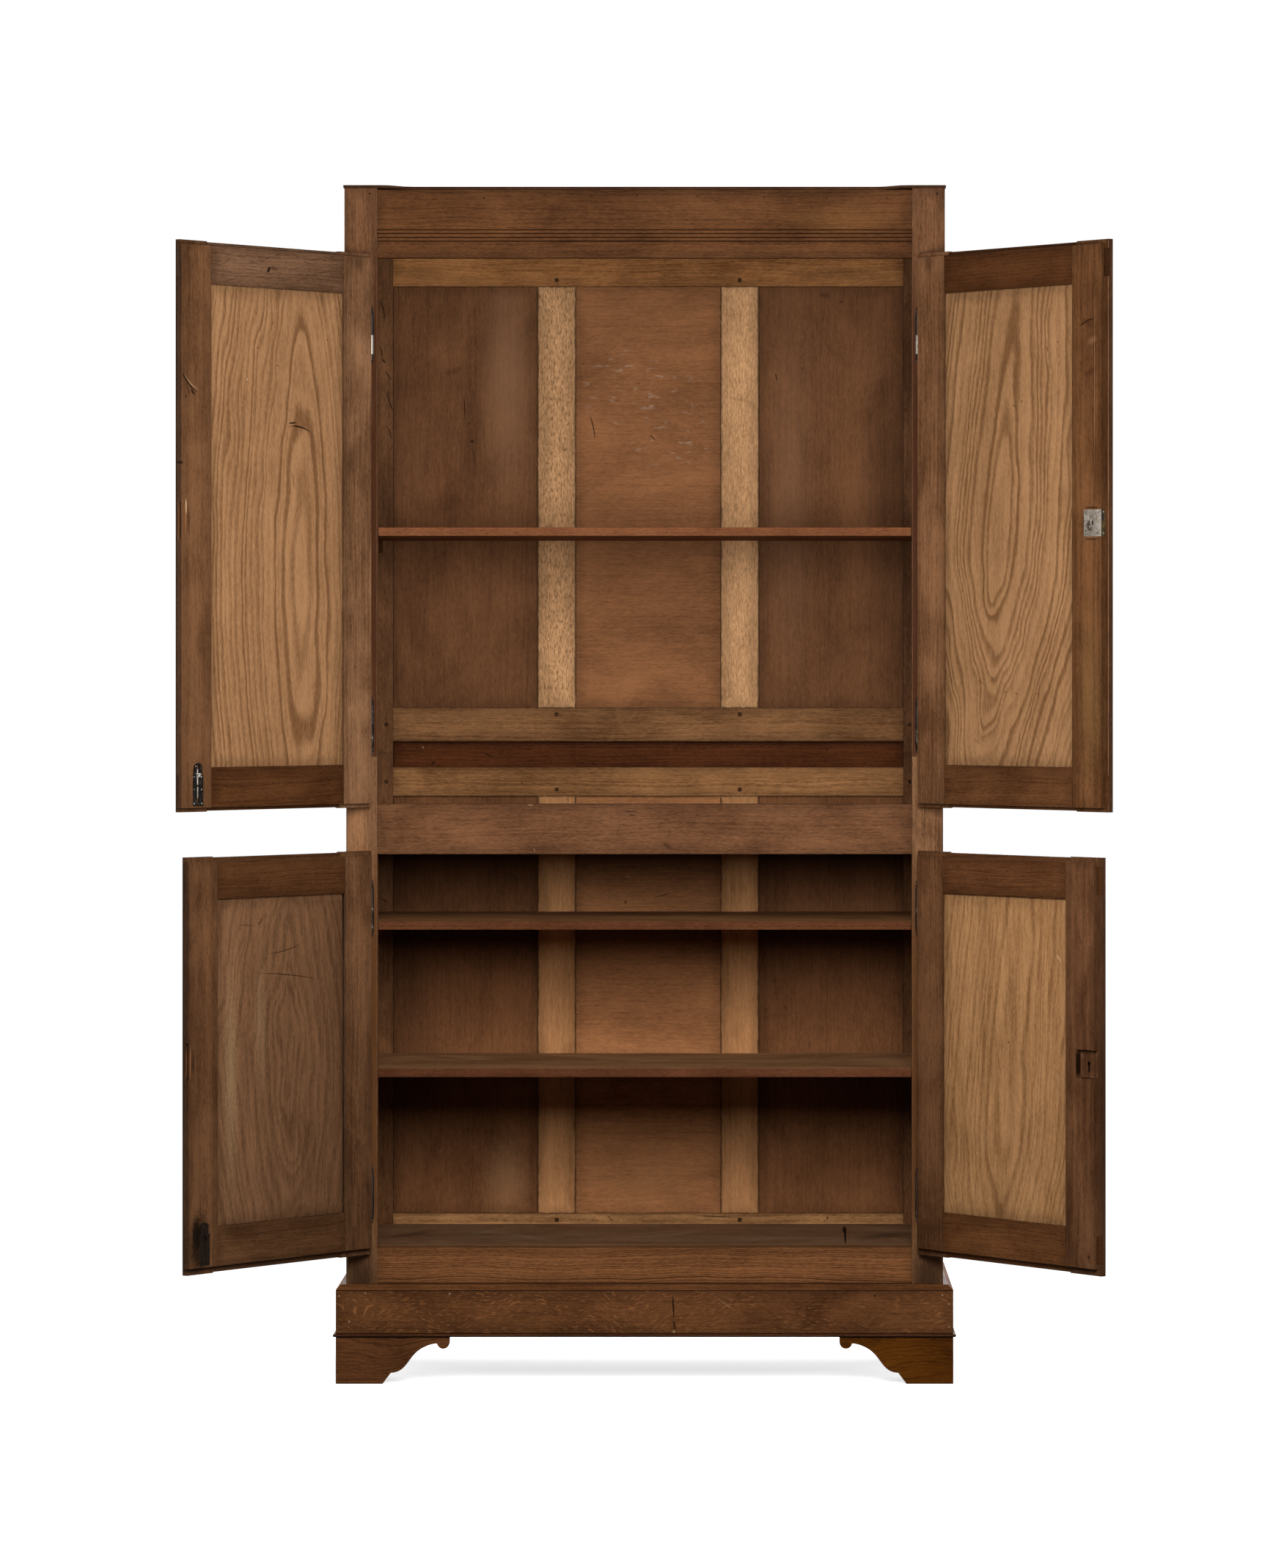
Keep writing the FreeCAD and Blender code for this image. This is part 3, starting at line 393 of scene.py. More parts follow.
@dataclass
class Surface:
    """What a board looks like at one point."""

    colour: Value
    rough: Value
    height: Value


@dataclass(frozen=True)
class Mark:
    """One knot, crack, stain, hole or scuff on a board, by its place across and along the grain."""

    across: float
    along: float
    width: float
    length: float
    colour: str = "140a05"
    strength: float = 0.8
    soft: float = 0.5          # share of the size over which it fades
    angle: float = 0.0         # degrees, turned from along the grain
    bend: float = 0.0          # how far it curves, as a share of its width at its ends
    ragged: float = 0.0        # how much noise eats its outline


@dataclass(frozen=True)
class Timber:
    """The look of one kind of board: its colour, growth rings, pores, streaks and wear."""

    tone: str = "6b4a2e"
    spread: float = 0.55       # how far the palest and darkest wood lie from the tone
    redden: float = 0.10       # how much redder the dark wood is
    ring: float = 0.006
    contrast: float = 0.45
    heart: float = 0.0         # the pith's place across the board
    deep: float = 0.04         # the pith's depth behind the board
    tilt: float = 0.0          # how far the pith leans across for each metre along
    peak: float = 0.0          # how steeply the rings close above and below the crown
    crown: float = 0.0         # where along the board the figure is centred
    core: float = 0.15         # half the length over which the rings run straight
    lean: float = 0.0          # how much less steep the arches are above the crown than below it
    wave: float = 0.35         # how much the rings wander
    pores: float = 0.55
    pore_size: float = 1.0
    pore_run: float = 7.0      # how many times longer than wide the pores are
    grit: float = 0.50         # fine dark and pale dashes all over
    streak: float = 0.7
    cloud: float = 0.55
    fleck: float = 0.0
    rough: float = 0.50

    def shade(self, amount: float, red: float = 0.0) -> tuple[float, float, float, float]:
        """The tone made lighter or darker.

        Args:
            amount: Factor on the tone.
            red: How much less green and blue it keeps.

        Returns:
            The linear colour.
        """
        parts = tone(self.tone)
        return (parts[0] * amount, parts[1] * amount * (1.0 - red),
                parts[2] * amount * (1.0 - 1.8 * red), 1.0)

    def rings(self, place: Place) -> Value:
        """Draw the growth rings.

        Args:
            place: Where the point lies in the board.

        Returns:
            One in the dark porous wood of each year, zero in the pale wood.
        """
        finish = place.finish
        wander = finish.noise(place.stretched(5.0, 2.2), 2.0) - 0.5
        ripple = finish.noise(place.stretched(20.0, 7.0), 1.0) - 0.5
        jitter = finish.noise(place.stretched(75.0, 28.0), 1.0) - 0.5
        side = place.across - self.heart + (wander * 0.080 + ripple * 0.036 + jitter
                                            * 0.008) * self.wave
        if self.tilt:
            side = side - place.along * self.tilt
        deep = place.depth + self.deep
        reach = (side * side + deep * deep).math("SQRT")
        if self.peak:
            run = place.along - self.crown + ripple * (0.25 * self.wave) + wander * (0.30
                                                                                     * self.wave)
            reach = reach + (run * run + self.core
                             * self.core).math("SQRT") * self.peak - run * self.lean
        turn = reach * (1.0 / self.ring)
        slow = finish.node("TexNoise", {"noise_dimensions": "1D"},
                           {"W": turn + place.seed, "Scale": 0.35, "Detail": 1.0})
        turn = turn + finish.out(slow) * 1.8
        year = finish.node("TexWhiteNoise", {"noise_dimensions": "1D"}, {"W": turn.math("FLOOR")})
        ramp = finish.node("ValToRGB", {"stops": ((0.0, 0.0), (0.20, 1.0), (0.42, 0.85),
                                                  (0.70, 0.12), (1.0, 0.0))},
                           {"Fac": turn.math("FRACT")})
        return finish.out(ramp) * (finish.out(year) * 0.8 + 0.2)

    def paint(self, place: Place) -> Surface:
        """Draw the board's figure.

        Args:
            place: Where the point lies in the board.

        Returns:
            Its colour, roughness and relief.
        """
        finish = place.finish
        band = self.rings(place)
        broad = finish.noise(place.stretched(30.0, 2.4), 2.0) - 0.5
        fibre = finish.noise(place.stretched(190.0, 15.0), 3.0, 0.65) - 0.5
        grit = finish.noise(place.stretched(440.0, 105.0), 3.0, 0.75) - 0.5
        cloud = finish.noise(place.stretched(8.0, 5.0), 4.0, 0.6, 0.6) - 0.5
        fine = 640.0 / self.pore_size
        pores = finish.span(finish.noise(place.stretched(fine, fine / self.pore_run), 1.0), 0.51,
                            0.66)
        share = (band - 0.30) * self.contrast + (broad * 1.4 + fibre * 2.0) * self.streak \
            + cloud * (self.cloud * 2.6) + grit * (self.grit * 3.4) + 0.5
        colour = finish.mix(finish.math("MAXIMUM", share, 0.0), self.shade(1.0 + self.spread),
                            self.shade(1.0 - self.spread, self.redden))
        porous = pores * (band * 0.6 + 0.4) * self.pores
        if self.fleck:
            colour = finish.mix(self.flecks(place) * self.fleck, colour, self.shade(2.1))
        colour = finish.mix(porous, colour, self.shade(0.22, self.redden))
        height = 1.0 - porous * 0.8 - band * 0.25 + fibre * 0.3 - grit * 0.5
        rough = self.rough + porous * 0.2 + cloud * 0.16 + grit * 0.16
        return Surface(colour, rough, height)

    def flecks(self, place: Place) -> Value:
        """Draw the short pale slivers of quartersawn oak.

        Args:
            place: Where the point lies in the board.

        Returns:
            How much of a sliver shows.
        """
        finish = place.finish
        run = place.along
        drift = finish.noise(place.stretched(9.0, 7.0), 1.0) - 0.5
        vector = finish.stretch(finish.join(place.across + drift * 0.16, place.depth,
                                            run + place.seed), (390.0, 60.0, 70.0))
        slivers = finish.span(finish.noise(vector, 1.0, 0.5, 0.3), 0.57, 0.66)
        patches = finish.span(finish.noise(place.stretched(12.0, 7.0), 2.0), 0.30, 0.50, 0.25)
        return slivers * patches


def board_boxes(obj: bpy.types.Object) -> list[list[Vector]]:
    """Part a node's mesh into its separate boards.

    Args:
        obj: The node.

    Returns:
        The vertices of each board.
    """
    known: dict[tuple[float, ...], int] = {}
    spots: list[Vector] = []
    ids = []
    for vertex in obj.data.vertices:
        key = tuple(round(value, 5) for value in vertex.co)
        if key not in known:
            known[key] = len(spots)
            spots.append(vertex.co.copy())
        ids.append(known[key])
    above = list(range(len(spots)))

    def root(index: int) -> int:
        """Follow a vertex to the first one of its board."""
        while above[index] != index:
            above[index] = above[above[index]]
            index = above[index]
        return index

    for face in obj.data.polygons:
        first = root(ids[face.vertices[0]])
        for corner in face.vertices[1:]:
            above[root(ids[corner])] = first
    groups: dict[int, list[Vector]] = {}
    for index, spot in enumerate(spots):
        groups.setdefault(root(index), []).append(spot)
    return list(groups.values())


Rect = tuple[float, float, float, float]


@dataclass
class Board:
    """How one node's boards are finished: the run of their grain, look, edges and marks.

    A node may hold several boards: centres are their middles across `split_axis`. The darkened
    edges follow each board's own outline, cut back to the part that shows (`window`: lowest and
    highest across, then lowest and highest along).
    """

    timber: Timber
    grain: Grain = Grain.UPRIGHT
    leaf: Optional[Leaf] = None
    centres: Sequence[float] = ()
    split_axis: int = 0
    corner: Optional[tuple[float, float]] = None
    marks: Sequence[Mark] = ()
    scuffs: Sequence[Mark] = ()             # where pale rubs are strewn
    beyond: Optional[tuple[float, str]] = None    # past this place across, another tone
    window: Sequence[Optional[float]] = (None, None, None, None)
    rim: float = 0.55                       # how dark the edges are
    rim_width: float = 0.0026
    haze: float = 0.30
    other: Optional["Board"] = None         # how the boards near the centre line look
    other_half: float = 0.0                 # how near they are
    sights: Sequence[Rect] = ()             # the outlines, where they aren't the boards' own
    bump: float = 0.35
    specular: float = 0.03
    # painted shade below each shelf: its lower face's height, how far down it reaches, and how
    # strong
    under: Sequence[tuple[float, float, float]] = ()

    def front(self, finish: Finish, obj: bpy.types.Object) -> Number:
        """Find the side with the marks: inside for doors and back, all round for the rest.

        Args:
            finish: The material being made.
            obj: The node.

        Returns:
            One on that side.
        """
        if self.leaf is not None:
            return finish.split(self.leaf.place(finish, finish.object_place()))[1] > 0.0
        if "_back_" not in obj.name:
            return 1.0
        depths = [vertex.co.y for vertex in obj.data.vertices]
        return finish.split(finish.object_place())[1].math("LESS_THAN",
                                                           (min(depths) + max(depths)) / 2)

    def place(self, finish: Finish, seed: float) -> Place:
        """Work out where a point lies in its own board.

        Args:
            finish: The material being made.
            seed: Offset along the noise, so that no two pieces look alike.

        Returns:
            The place in the board.
        """
        vector = finish.object_place()
        if self.leaf is not None:
            vector = self.leaf.place(finish, vector)
        axes = list(finish.split(vector))
        shift: Number = seed
        if self.centres:
            free = axes[self.split_axis]
            middle: Number = self.centres[0]
            for here, there in zip(self.centres, self.centres[1:]):
                passed = free > (here + there) / 2
                middle = passed * (there - here) + middle
                shift = passed * NEXT_BOARD_SEED + shift
            axes[self.split_axis] = free - middle
        if self.corner is not None:
            half, front = self.corner
            beside = abs(axes[0])
            turned = (axes[1] - front) > (half - beside)
            x, y, z = axes
            axes = [turned * (y - x) + x, turned * (beside - y) + y, z]
        across, depth, along = (axes[i] for i in self.grain.value)
        return Place(finish, across, depth, along, shift)

    def outlines(self, obj: bpy.types.Object) -> list[Rect]:
        """Find the outline of each board in its own axes.

        Args:
            obj: The node.

        Returns:
            Lowest and highest place across and along, one row for each different board.
        """
        rows: list[Rect] = []
        for spots in board_boxes(obj):
            if self.leaf is not None:
                spots = [self.leaf.flat(spot) for spot in spots]
            low = [min(spot[i] for spot in spots) for i in range(3)]
            high = [max(spot[i] for spot in spots) for i in range(3)]
            if self.centres:
                middle = (low[self.split_axis] + high[self.split_axis]) / 2
                nearest = min(self.centres, key=lambda centre: abs(centre - middle))
                low[self.split_axis] -= nearest
                high[self.split_axis] -= nearest
            across, _, along = self.grain.value
            row = [low[across], high[across], low[along], high[along]]
            for index, limit in enumerate(self.window):
                if limit is not None:
                    row[index] = min(row[index], limit) if index % 2 else max(row[index], limit)
            if row[0] < row[1] and row[2] < row[3] and all(
                    any(abs(a - b) > 0.0005 for a, b in zip(row, known)) for known in rows):
                rows.append((row[0], row[1], row[2], row[3]))
        return rows

    def darken(self, place: Place, colour: Value, rows: Sequence[Rect]) -> Value:
        """Lay years of dirt and wear along the edges.

        Args:
            place: Where the point lies in the board.
            colour: The wood's colour.
            rows: The boards' outlines.

        Returns:
            The colour with its edges.
        """
        finish = place.finish
        depths = []
        for low, high, start, end in rows:
            here = (place.across - low).math("MINIMUM", high - place.across)
            depths.append(here.math("MINIMUM", (place.along - start).math("MINIMUM",
                                                                          end - place.along)))
        inside = depths[0]
        for here in depths[1:]:
            inside = inside.math("MAXIMUM", here)
        uneven = inside + (finish.noise(place.stretched(110.0, 38.0), 2.0, 0.6) - 0.5) * 0.0055
        edge = finish.span(uneven, self.rim_width, 0.0, 0.0, self.rim)
        wide = finish.span(uneven + (finish.noise(place.stretched(24.0, 9.0), 2.0) - 0.5) * 0.030,
                           0.028, 0.0, 0.0, self.haze)
        return finish.mix(edge.math("MAXIMUM", wide), colour, self.timber.shade(0.16, 0.05))

    def dress(self, obj: bpy.types.Object, seed: float) -> None:
        """Give the board its finish.

        Args:
            obj: The board.
            seed: Offset along the noise.
        """
        finish = Finish("oak_" + obj.name)
        front = self.front(finish, obj)
        surface = self.face(finish, obj, seed, front)
        if self.other is not None:
            second = self.other.face(finish, obj, seed + OTHER_SEED, front)
            x = finish.split(finish.object_place())[0]
            centre = abs(x).math("LESS_THAN", self.other_half)
            surface = Surface(finish.mix(centre, surface.colour, second.colour),
                              centre * (second.rough - surface.rough) + surface.rough,
                              centre * (second.height - surface.height) + surface.height)
        # painted shade: the boards' front darkens towards the shelf above, strongest just below it
        for top, run, strength in self.under:
            height = finish.split(finish.object_place())[2]
            here = finish.span(height, top - run, top, 0.0, strength) * height.math("LESS_THAN",
                                                                                    top) * front
            surface.colour = finish.mix(here, surface.colour, self.timber.shade(0.09, 0.35))
        material = finish.close(surface.colour, surface.rough, surface.height, self.bump, 0.0006,
                                Specular_IOR_Level=self.specular)
        obj.data.materials.clear()
        obj.data.materials.append(material)

    def face(self, finish: Finish, obj: bpy.types.Object, seed: float, front: Number) -> Surface:
        """Paint one look: the wood, its edges and its marks.

        Args:
            finish: The material being made.
            obj: The node.
            seed: Offset along the noise.
            front: One on the side that has the marks.

        Returns:
            The board's look.
        """
        place = self.place(finish, seed)
        surface = self.timber.paint(place)
        if self.beyond is not None:
            limit, code = self.beyond
            here, there = tone(self.timber.tone), tone(code)
            ratio = tuple(b / a for a, b in zip(here[:3], there))
            surface.colour = finish.mix(place.across > limit, surface.colour,
                                        finish.stretch(surface.colour, ratio))
        if self.marks or self.scuffs:
            marked = self.draw(place, self.rub(place, surface.colour))
            surface.colour = finish.mix(front, surface.colour, marked)
        if self.rim and self.corner is None:
            surface.colour = self.darken(place, surface.colour, self.sights or self.outlines(obj))
        return surface

    def reach(self, place: Place, mark: Mark) -> Value:
        """Measure how far a point lies from a mark's middle.

        Args:
            place: Where the point lies in the board.
            mark: The mark.

        Returns:
            The distance, 1 at the mark's outline.
        """
        finish = place.finish
        spot = finish.out(finish.node("Mapping", {"vector_type": "TEXTURE"}, {
            "Vector": finish.join(place.across, 0.0, place.along),
            "Location": (mark.across, 0.0, mark.along),
            "Rotation": (0.0, math.radians(mark.angle), 0.0),
            "Scale": (mark.width / 2, 1.0, mark.length / 2)}))
        if mark.bend:
            x, _, z = finish.split(spot)
            spot = finish.join(x + z * z * mark.bend, 0.0, z)
        return finish.out(finish.node("VectorMath", {"operation": "LENGTH"}, {0: spot}), "Value")

    def rub(self, place: Place, colour: Value) -> Value:
        """Strew pale rubs over parts of the board.

        Args:
            place: Where the point lies in the board.
            colour: The wood's colour.

        Returns:
            The colour with the rubs.
        """
        finish = place.finish
        for scuff in self.scuffs:
            spots = finish.span(finish.noise(place.stretched(105.0, 42.0), 1.0), 0.60, 0.72)
            hairs = finish.span(finish.noise(place.stretched(900.0, 260.0), 2.0, 0.7), 0.42, 0.66)
            area = finish.span(self.reach(place, scuff), 1.0, 1.0 - scuff.soft, 0.0, scuff.strength)
            colour = finish.mix(area * spots * (hairs * 0.8 + 0.2), colour, scuff.colour)
        return colour

    def draw(self, place: Place, colour: Value) -> Value:
        """Lay the marks over the wood.

        Args:
            place: Where the point lies in the board.
            colour: The wood's colour.

        Returns:
            The colour with the marks.
        """
        finish = place.finish
        eaten: Optional[Value] = None
        for mark in self.marks:
            reach = self.reach(place, mark)
            if mark.ragged:
                if eaten is None:
                    eaten = finish.noise(place.stretched(260.0, 160.0), 3.0, 0.6) - 0.5
                reach = reach + eaten * (mark.ragged * 2.0)
            mask = finish.span(reach, 1.0, 1.0 - mark.soft, 0.0, mark.strength)
            colour = finish.mix(mask, colour, mark.colour)
        return colour


# -------------------- studio

@dataclass
class Studio:
    """A pale floor, soft lamps, a white background and the camera."""

    camera_place: tuple[float, float, float] = (0.157, -10.437, 1.274)
    lens: float = 134.77
    shift: tuple[float, float] = (-0.0617, -0.0767)
    floor_half: float = 14.0
    fill: float = 0.008

    def lamp(self, name: str, place: tuple[float, float, float], aim: tuple[float, float, float],
             size: tuple[float, float], power: float) -> None:
        """Hang one soft rectangular lamp.

        Args:
            name: The lamp's name.
            place: Where it hangs.
            aim: The point that it faces.
            size: Width and height.
            power: Watts.
        """
        light = bpy.data.lights.new(name, "AREA")
        light.shape = "RECTANGLE"
        light.size, light.size_y = size
        light.energy = power
        obj = bpy.data.objects.new(name, light)
        bpy.context.scene.collection.objects.link(obj)
        obj.location = place
        obj.rotation_euler = (Vector(aim) - Vector(place)).to_track_quat("-Z", "Y").to_euler()

    def lamps(self) -> None:
        """Hang the lamps: name, place, aim, size and watts."""
        for row in (("main_softbox", (0.12, -2.4, 1.55), (0.0, 0.1, 1.30), (1.4, 1.05), 66.0),
                    ("far_softbox", (0.0, -5.0, 3.4), (0.0, 0.0, 1.2), (2.6, 1.2), 42.0),
                    ("left_lamp", (-3.4, 1.3, 1.6), (0.0, 0.2, 1.0), (1.2, 2.0), 70.0),
                    ("right_lamp", (3.4, 1.3, 1.6), (0.0, 0.2, 1.0), (1.2, 2.0), 70.0),
                    ("back_lamp", (0.4, 4.0, 2.0), (0.0, 0.4, 1.0), (2.6, 1.8), 130.0),
                    ("top_lamp", (0.0, 0.4, 4.2), (0.0, 0.1, 1.0), (2.0, 1.2), 30.0)):
            self.lamp(*row)

    def white_to_lens(self, tree: bpy.types.NodeTree) -> bpy.types.NodeSocket:
        """Build a mask that is 1 for rays from the camera and for what metal and glass show.

        Args:
            tree: The node tree that needs the mask.

        Returns:
            The mask's socket.
        """
        path = tree.nodes.new("ShaderNodeLightPath")
        socket = path.outputs["Is Camera Ray"]
        for name in ("Is Glossy Ray", "Is Transmission Ray"):
            both = tree.nodes.new("ShaderNodeMath")
            both.operation = "MAXIMUM"
            tree.links.new(socket, both.inputs[0])
            tree.links.new(path.outputs[name], both.inputs[1])
            socket = both.outputs[0]
        return socket

    def sky(self) -> None:
        """Light the scene a little from all round, and show plain white behind it."""
        world = bpy.data.worlds.new("studio_air")
        world.use_nodes = True
        tree = world.node_tree
        tree.nodes.clear()
        seen = tree.nodes.new("ShaderNodeBackground")
        seen.inputs["Color"].default_value = (1.0, 1.0, 1.0, 1.0)
        seen.inputs["Strength"].default_value = 1.0
        fill = tree.nodes.new("ShaderNodeBackground")
        fill.inputs["Color"].default_value = (1.0, 0.99, 0.97, 1.0)
        fill.inputs["Strength"].default_value = self.fill
        both = tree.nodes.new("ShaderNodeMixShader")
        out = tree.nodes.new("ShaderNodeOutputWorld")
        tree.links.new(self.white_to_lens(tree), both.inputs[0])
        tree.links.new(fill.outputs[0], both.inputs[1])
        tree.links.new(seen.outputs[0], both.inputs[2])
        tree.links.new(both.outputs[0], out.inputs["Surface"])
        bpy.context.scene.world = world

    def floor(self) -> None:
        """Lay the floor: pale, white to the lens, and darker only where the press shades it."""
        deselect()
        bpy.ops.mesh.primitive_plane_add(size=2 * self.floor_half, location=(0.0, 0.0, -0.0005))
        floor = bpy.context.object
        floor.name = "floor"
        finish = Finish("pale_floor")
        flat = finish.node("BsdfDiffuse", None, {"Color": (0.86, 0.86, 0.86, 1.0)})
        glow = finish.node("Emission", None, {"Color": (1.0, 1.0, 1.0, 1.0), "Strength": 0.74})
        both = finish.out(finish.node("AddShader", None,
                                      {0: finish.out(flat), 1: finish.out(glow)}))
        white = finish.out(finish.node("Emission", None,
                                       {"Color": (1.0, 1.0, 1.0, 1.0), "Strength": 1.0}))
        x, y, _ = finish.split(finish.object_place())
        away = finish.span((x * x + y * y).math("SQRT"), 1.1, 2.4)
        near = finish.out(finish.node("MixShader", None, {0: away, 1: both, 2: white}))
        seen = Value(finish, self.white_to_lens(finish.tree))
        dull = finish.out(finish.node("BsdfDiffuse", None, {"Color": (0.08, 0.08, 0.08, 1.0)}))
        shown = finish.node("MixShader", None, {0: seen, 1: dull, 2: near})
        finish.node("OutputMaterial", None, {"Surface": finish.out(shown)})
        floor.data.materials.append(finish.material)

    def camera(self) -> None:
        """Set up the camera: level, far back, with a long lens."""
        data = bpy.data.cameras.new("camera")
        data.lens = self.lens
        data.shift_x, data.shift_y = self.shift
        data.clip_end = 60.0
        obj = bpy.data.objects.new("camera", data)
        bpy.context.scene.collection.objects.link(obj)
        obj.location = self.camera_place
        obj.rotation_euler = (math.pi / 2, 0.0, 0.0)
        bpy.context.scene.camera = obj

    def build(self) -> None:
        """Set up the whole studio."""
        self.floor()
        self.sky()
        self.lamps()
        self.camera()
        bpy.context.scene.view_settings.view_transform = "Standard"


def deselect() -> None:
    """Leave nothing selected and nothing in edit mode."""
    if bpy.context.object is not None and bpy.context.object.mode != "OBJECT":
        bpy.ops.object.mode_set(mode="OBJECT")
    bpy.ops.object.select_all(action="DESELECT")


# -------------------- the press

LEFT_UPPER = Leaf(True, True)
RIGHT_UPPER = Leaf(False, True)
LEFT_LOWER = Leaf(True, False)
RIGHT_LOWER = Leaf(False, False)
LEAVES = (LEFT_UPPER, RIGHT_UPPER, LEFT_LOWER, RIGHT_LOWER)
CORNER = (0.5465, SHIFT_Y - 0.015)          # the plinth's mitred corner: half its width, its front
POSTS = (-0.503, 0.503)      # middles of the posts, the sides and the muntins
SIDES = (-0.52, 0.52)
MUNTINS = (-0.169, 0.169)
BETWEEN_POSTS = (None, None, -0.474, 0.474)
BACK_HALF = 0.471            # half the sight width between the back posts
SIDE_PANEL = 0.204           # where the outer back panels start
CENTRE_PANEL = 0.134         # half the sight width of the centre back panel
BETWEEN_BACK_POSTS = (None, None, -BACK_HALF, BACK_HALF)
BACK_PANEL_Z = {"lower": (0.259, 1.030), "upper": (1.1924, 1.9705)}
DOOR_PANEL_Z = {"upper": (1.0962, 1.925), "lower": (0.3095, 0.8702)}
SIGHT = (0.086, 0.41125)     # a door panel's sides that show, from the pin
STAGE_MIDDLE = {"lower": 0.6, "upper": 1.5}          # height that parts upper rails from lower ones
SHELF_FRONT = -0.0133        # past this depth it's the top of a shelf that shows
REEDS = (2.0228, 2.0295, 2.0362, 2.0429)
ABUTTING = ("plinth_cap", "plinth_bead", "back_feet")    # these meet edge to edge and stay sharp
# painted shadow of the open doors on each front post's inner strip: middle height, width, length,
# colour
DOOR_SHADOW_STRIPS = {"lower": (0.59, 0.025, 0.82, "5f3819"), "upper": (1.51, 0.025, 1.12, "44200a")}
INSIDE_SHINE = 0.015         # boards inside the case hardly shine
# painted shade below each shelf: its lower face's height, how far down it reaches, and how strong
PAINTED_SHELF_SHADE = ((0.9367, 0.150, 0.65), (0.8016, 0.130, 0.75), (0.5400, 0.060, 0.50))

TONES = {
    "plinth_front_board": "613d22",
    "plinth_side_boards": "613d22",
    "plinth_back_board": "5a3a22",
    "plinth_cap": "613d22",
    "plinth_bead": "4a2c18",
    "left_front_foot": "56341c",
    "right_front_foot": "512c07",
    "back_feet": "50311c",
    "bottom_rail": "734a2b",
    "mid_rail": "6b472d",
    "frieze": "5d3a1f",
    "top_board": "5a3a24",
    "lower_front_posts": "825c3e",
    "upper_front_posts": "6e4a30",
    "lower_back_posts": "69462b",
    "upper_back_posts": "69462b",
    "lower_side_rails": "5f3f27",
    "upper_side_rails": "5f3f27",
    "lower_side_panels": "5f3f27",
    "upper_side_panels": "5f3f27",
    "lower_back_rails": "a4784e",
    "lower_back_rails top": "875f3b",
    "upper_back_rails": "7b5636",
    "upper_back_rails top": "8f6139",
    "lower_back_muntins": "ad7c51",
    "upper_back_muntins": "bc8f64",
    "lower_back_panels": "70492d",
    "upper_back_panels": "644128",
    # lighter than the upper centre panel: painted light for the dimmer lower stage
    "lower_back_panels centre": "9c6943",
    "upper_back_panels centre": "825636",
    "back_pegs": "34200f",
    "join_strip": "492611",
    "floor_boards": "74553d",
    # lighter than the cleats' wood: painted light against the shade below the shelves
    "shelf_cleats": "70492c",
    "lower_shelf": "5c3723",
    "lower_shelf top": "8e6746",
    "middle_shelf": "5a3621",
    "middle_shelf top": "835c3c",
    "upper_shelf": "72472d",
    "upper_left_door_hinge_stile": "7d5a3f",
    "upper_left_door_free_stile": "64442c",
    "upper_left_door_rails": "4f301a",
    "upper_left_door_rails top": "6c4f3a",
    "upper_left_door_panel": "926c4a",
    "upper_right_door_hinge_stile": "775338",
    "upper_right_door_free_stile": "634127",
    "upper_right_door_rails": "603e25",
    "upper_right_door_rails top": "4a2c17",
    "upper_right_door_panel": "906b49",
    "lower_left_door_hinge_stile": "684830",
    "lower_left_door_free_stile": "60412a",
    "lower_left_door_rails": "593c25",
    "lower_left_door_rails top": "50321c",
    "lower_left_door_panel": "715037",
    "lower_right_door_hinge_stile": "6a482f",
    "lower_right_door_free_stile": "63422b",
    "lower_right_door_rails": "623e23",
    "lower_right_door_rails top": "5c3a22",
    "lower_right_door_panel": "a17850",
}

# colours of the marks
DUST = "8d7a62"
GRIME = "1a110a"
FAINT = "5a3a20"
BLACK = "040201"
PIN_HOLE = "0c0503"
SCRATCH = "3a2010"
SHADOW = "0a0503"
STAIN = "2a180d"
DEEP_BROWN = "1c0f08"
BROWN = "3c2212"
CLEFT = "0c0603"
GOUGE = "24140b"
RUST = "2a170c"


def alike(model: Mark, *rows: Sequence[float]) -> tuple[Mark, ...]:
    """Lay one mark in several places.

    Args:
        model: The mark.
        rows: Each place, across and along; then length, angle and bend where they differ.

    Returns:
        The marks.
    """
    names = ("across", "along", "length", "angle", "bend")
    return tuple(replace(model, **dict(zip(names, row))) for row in rows)


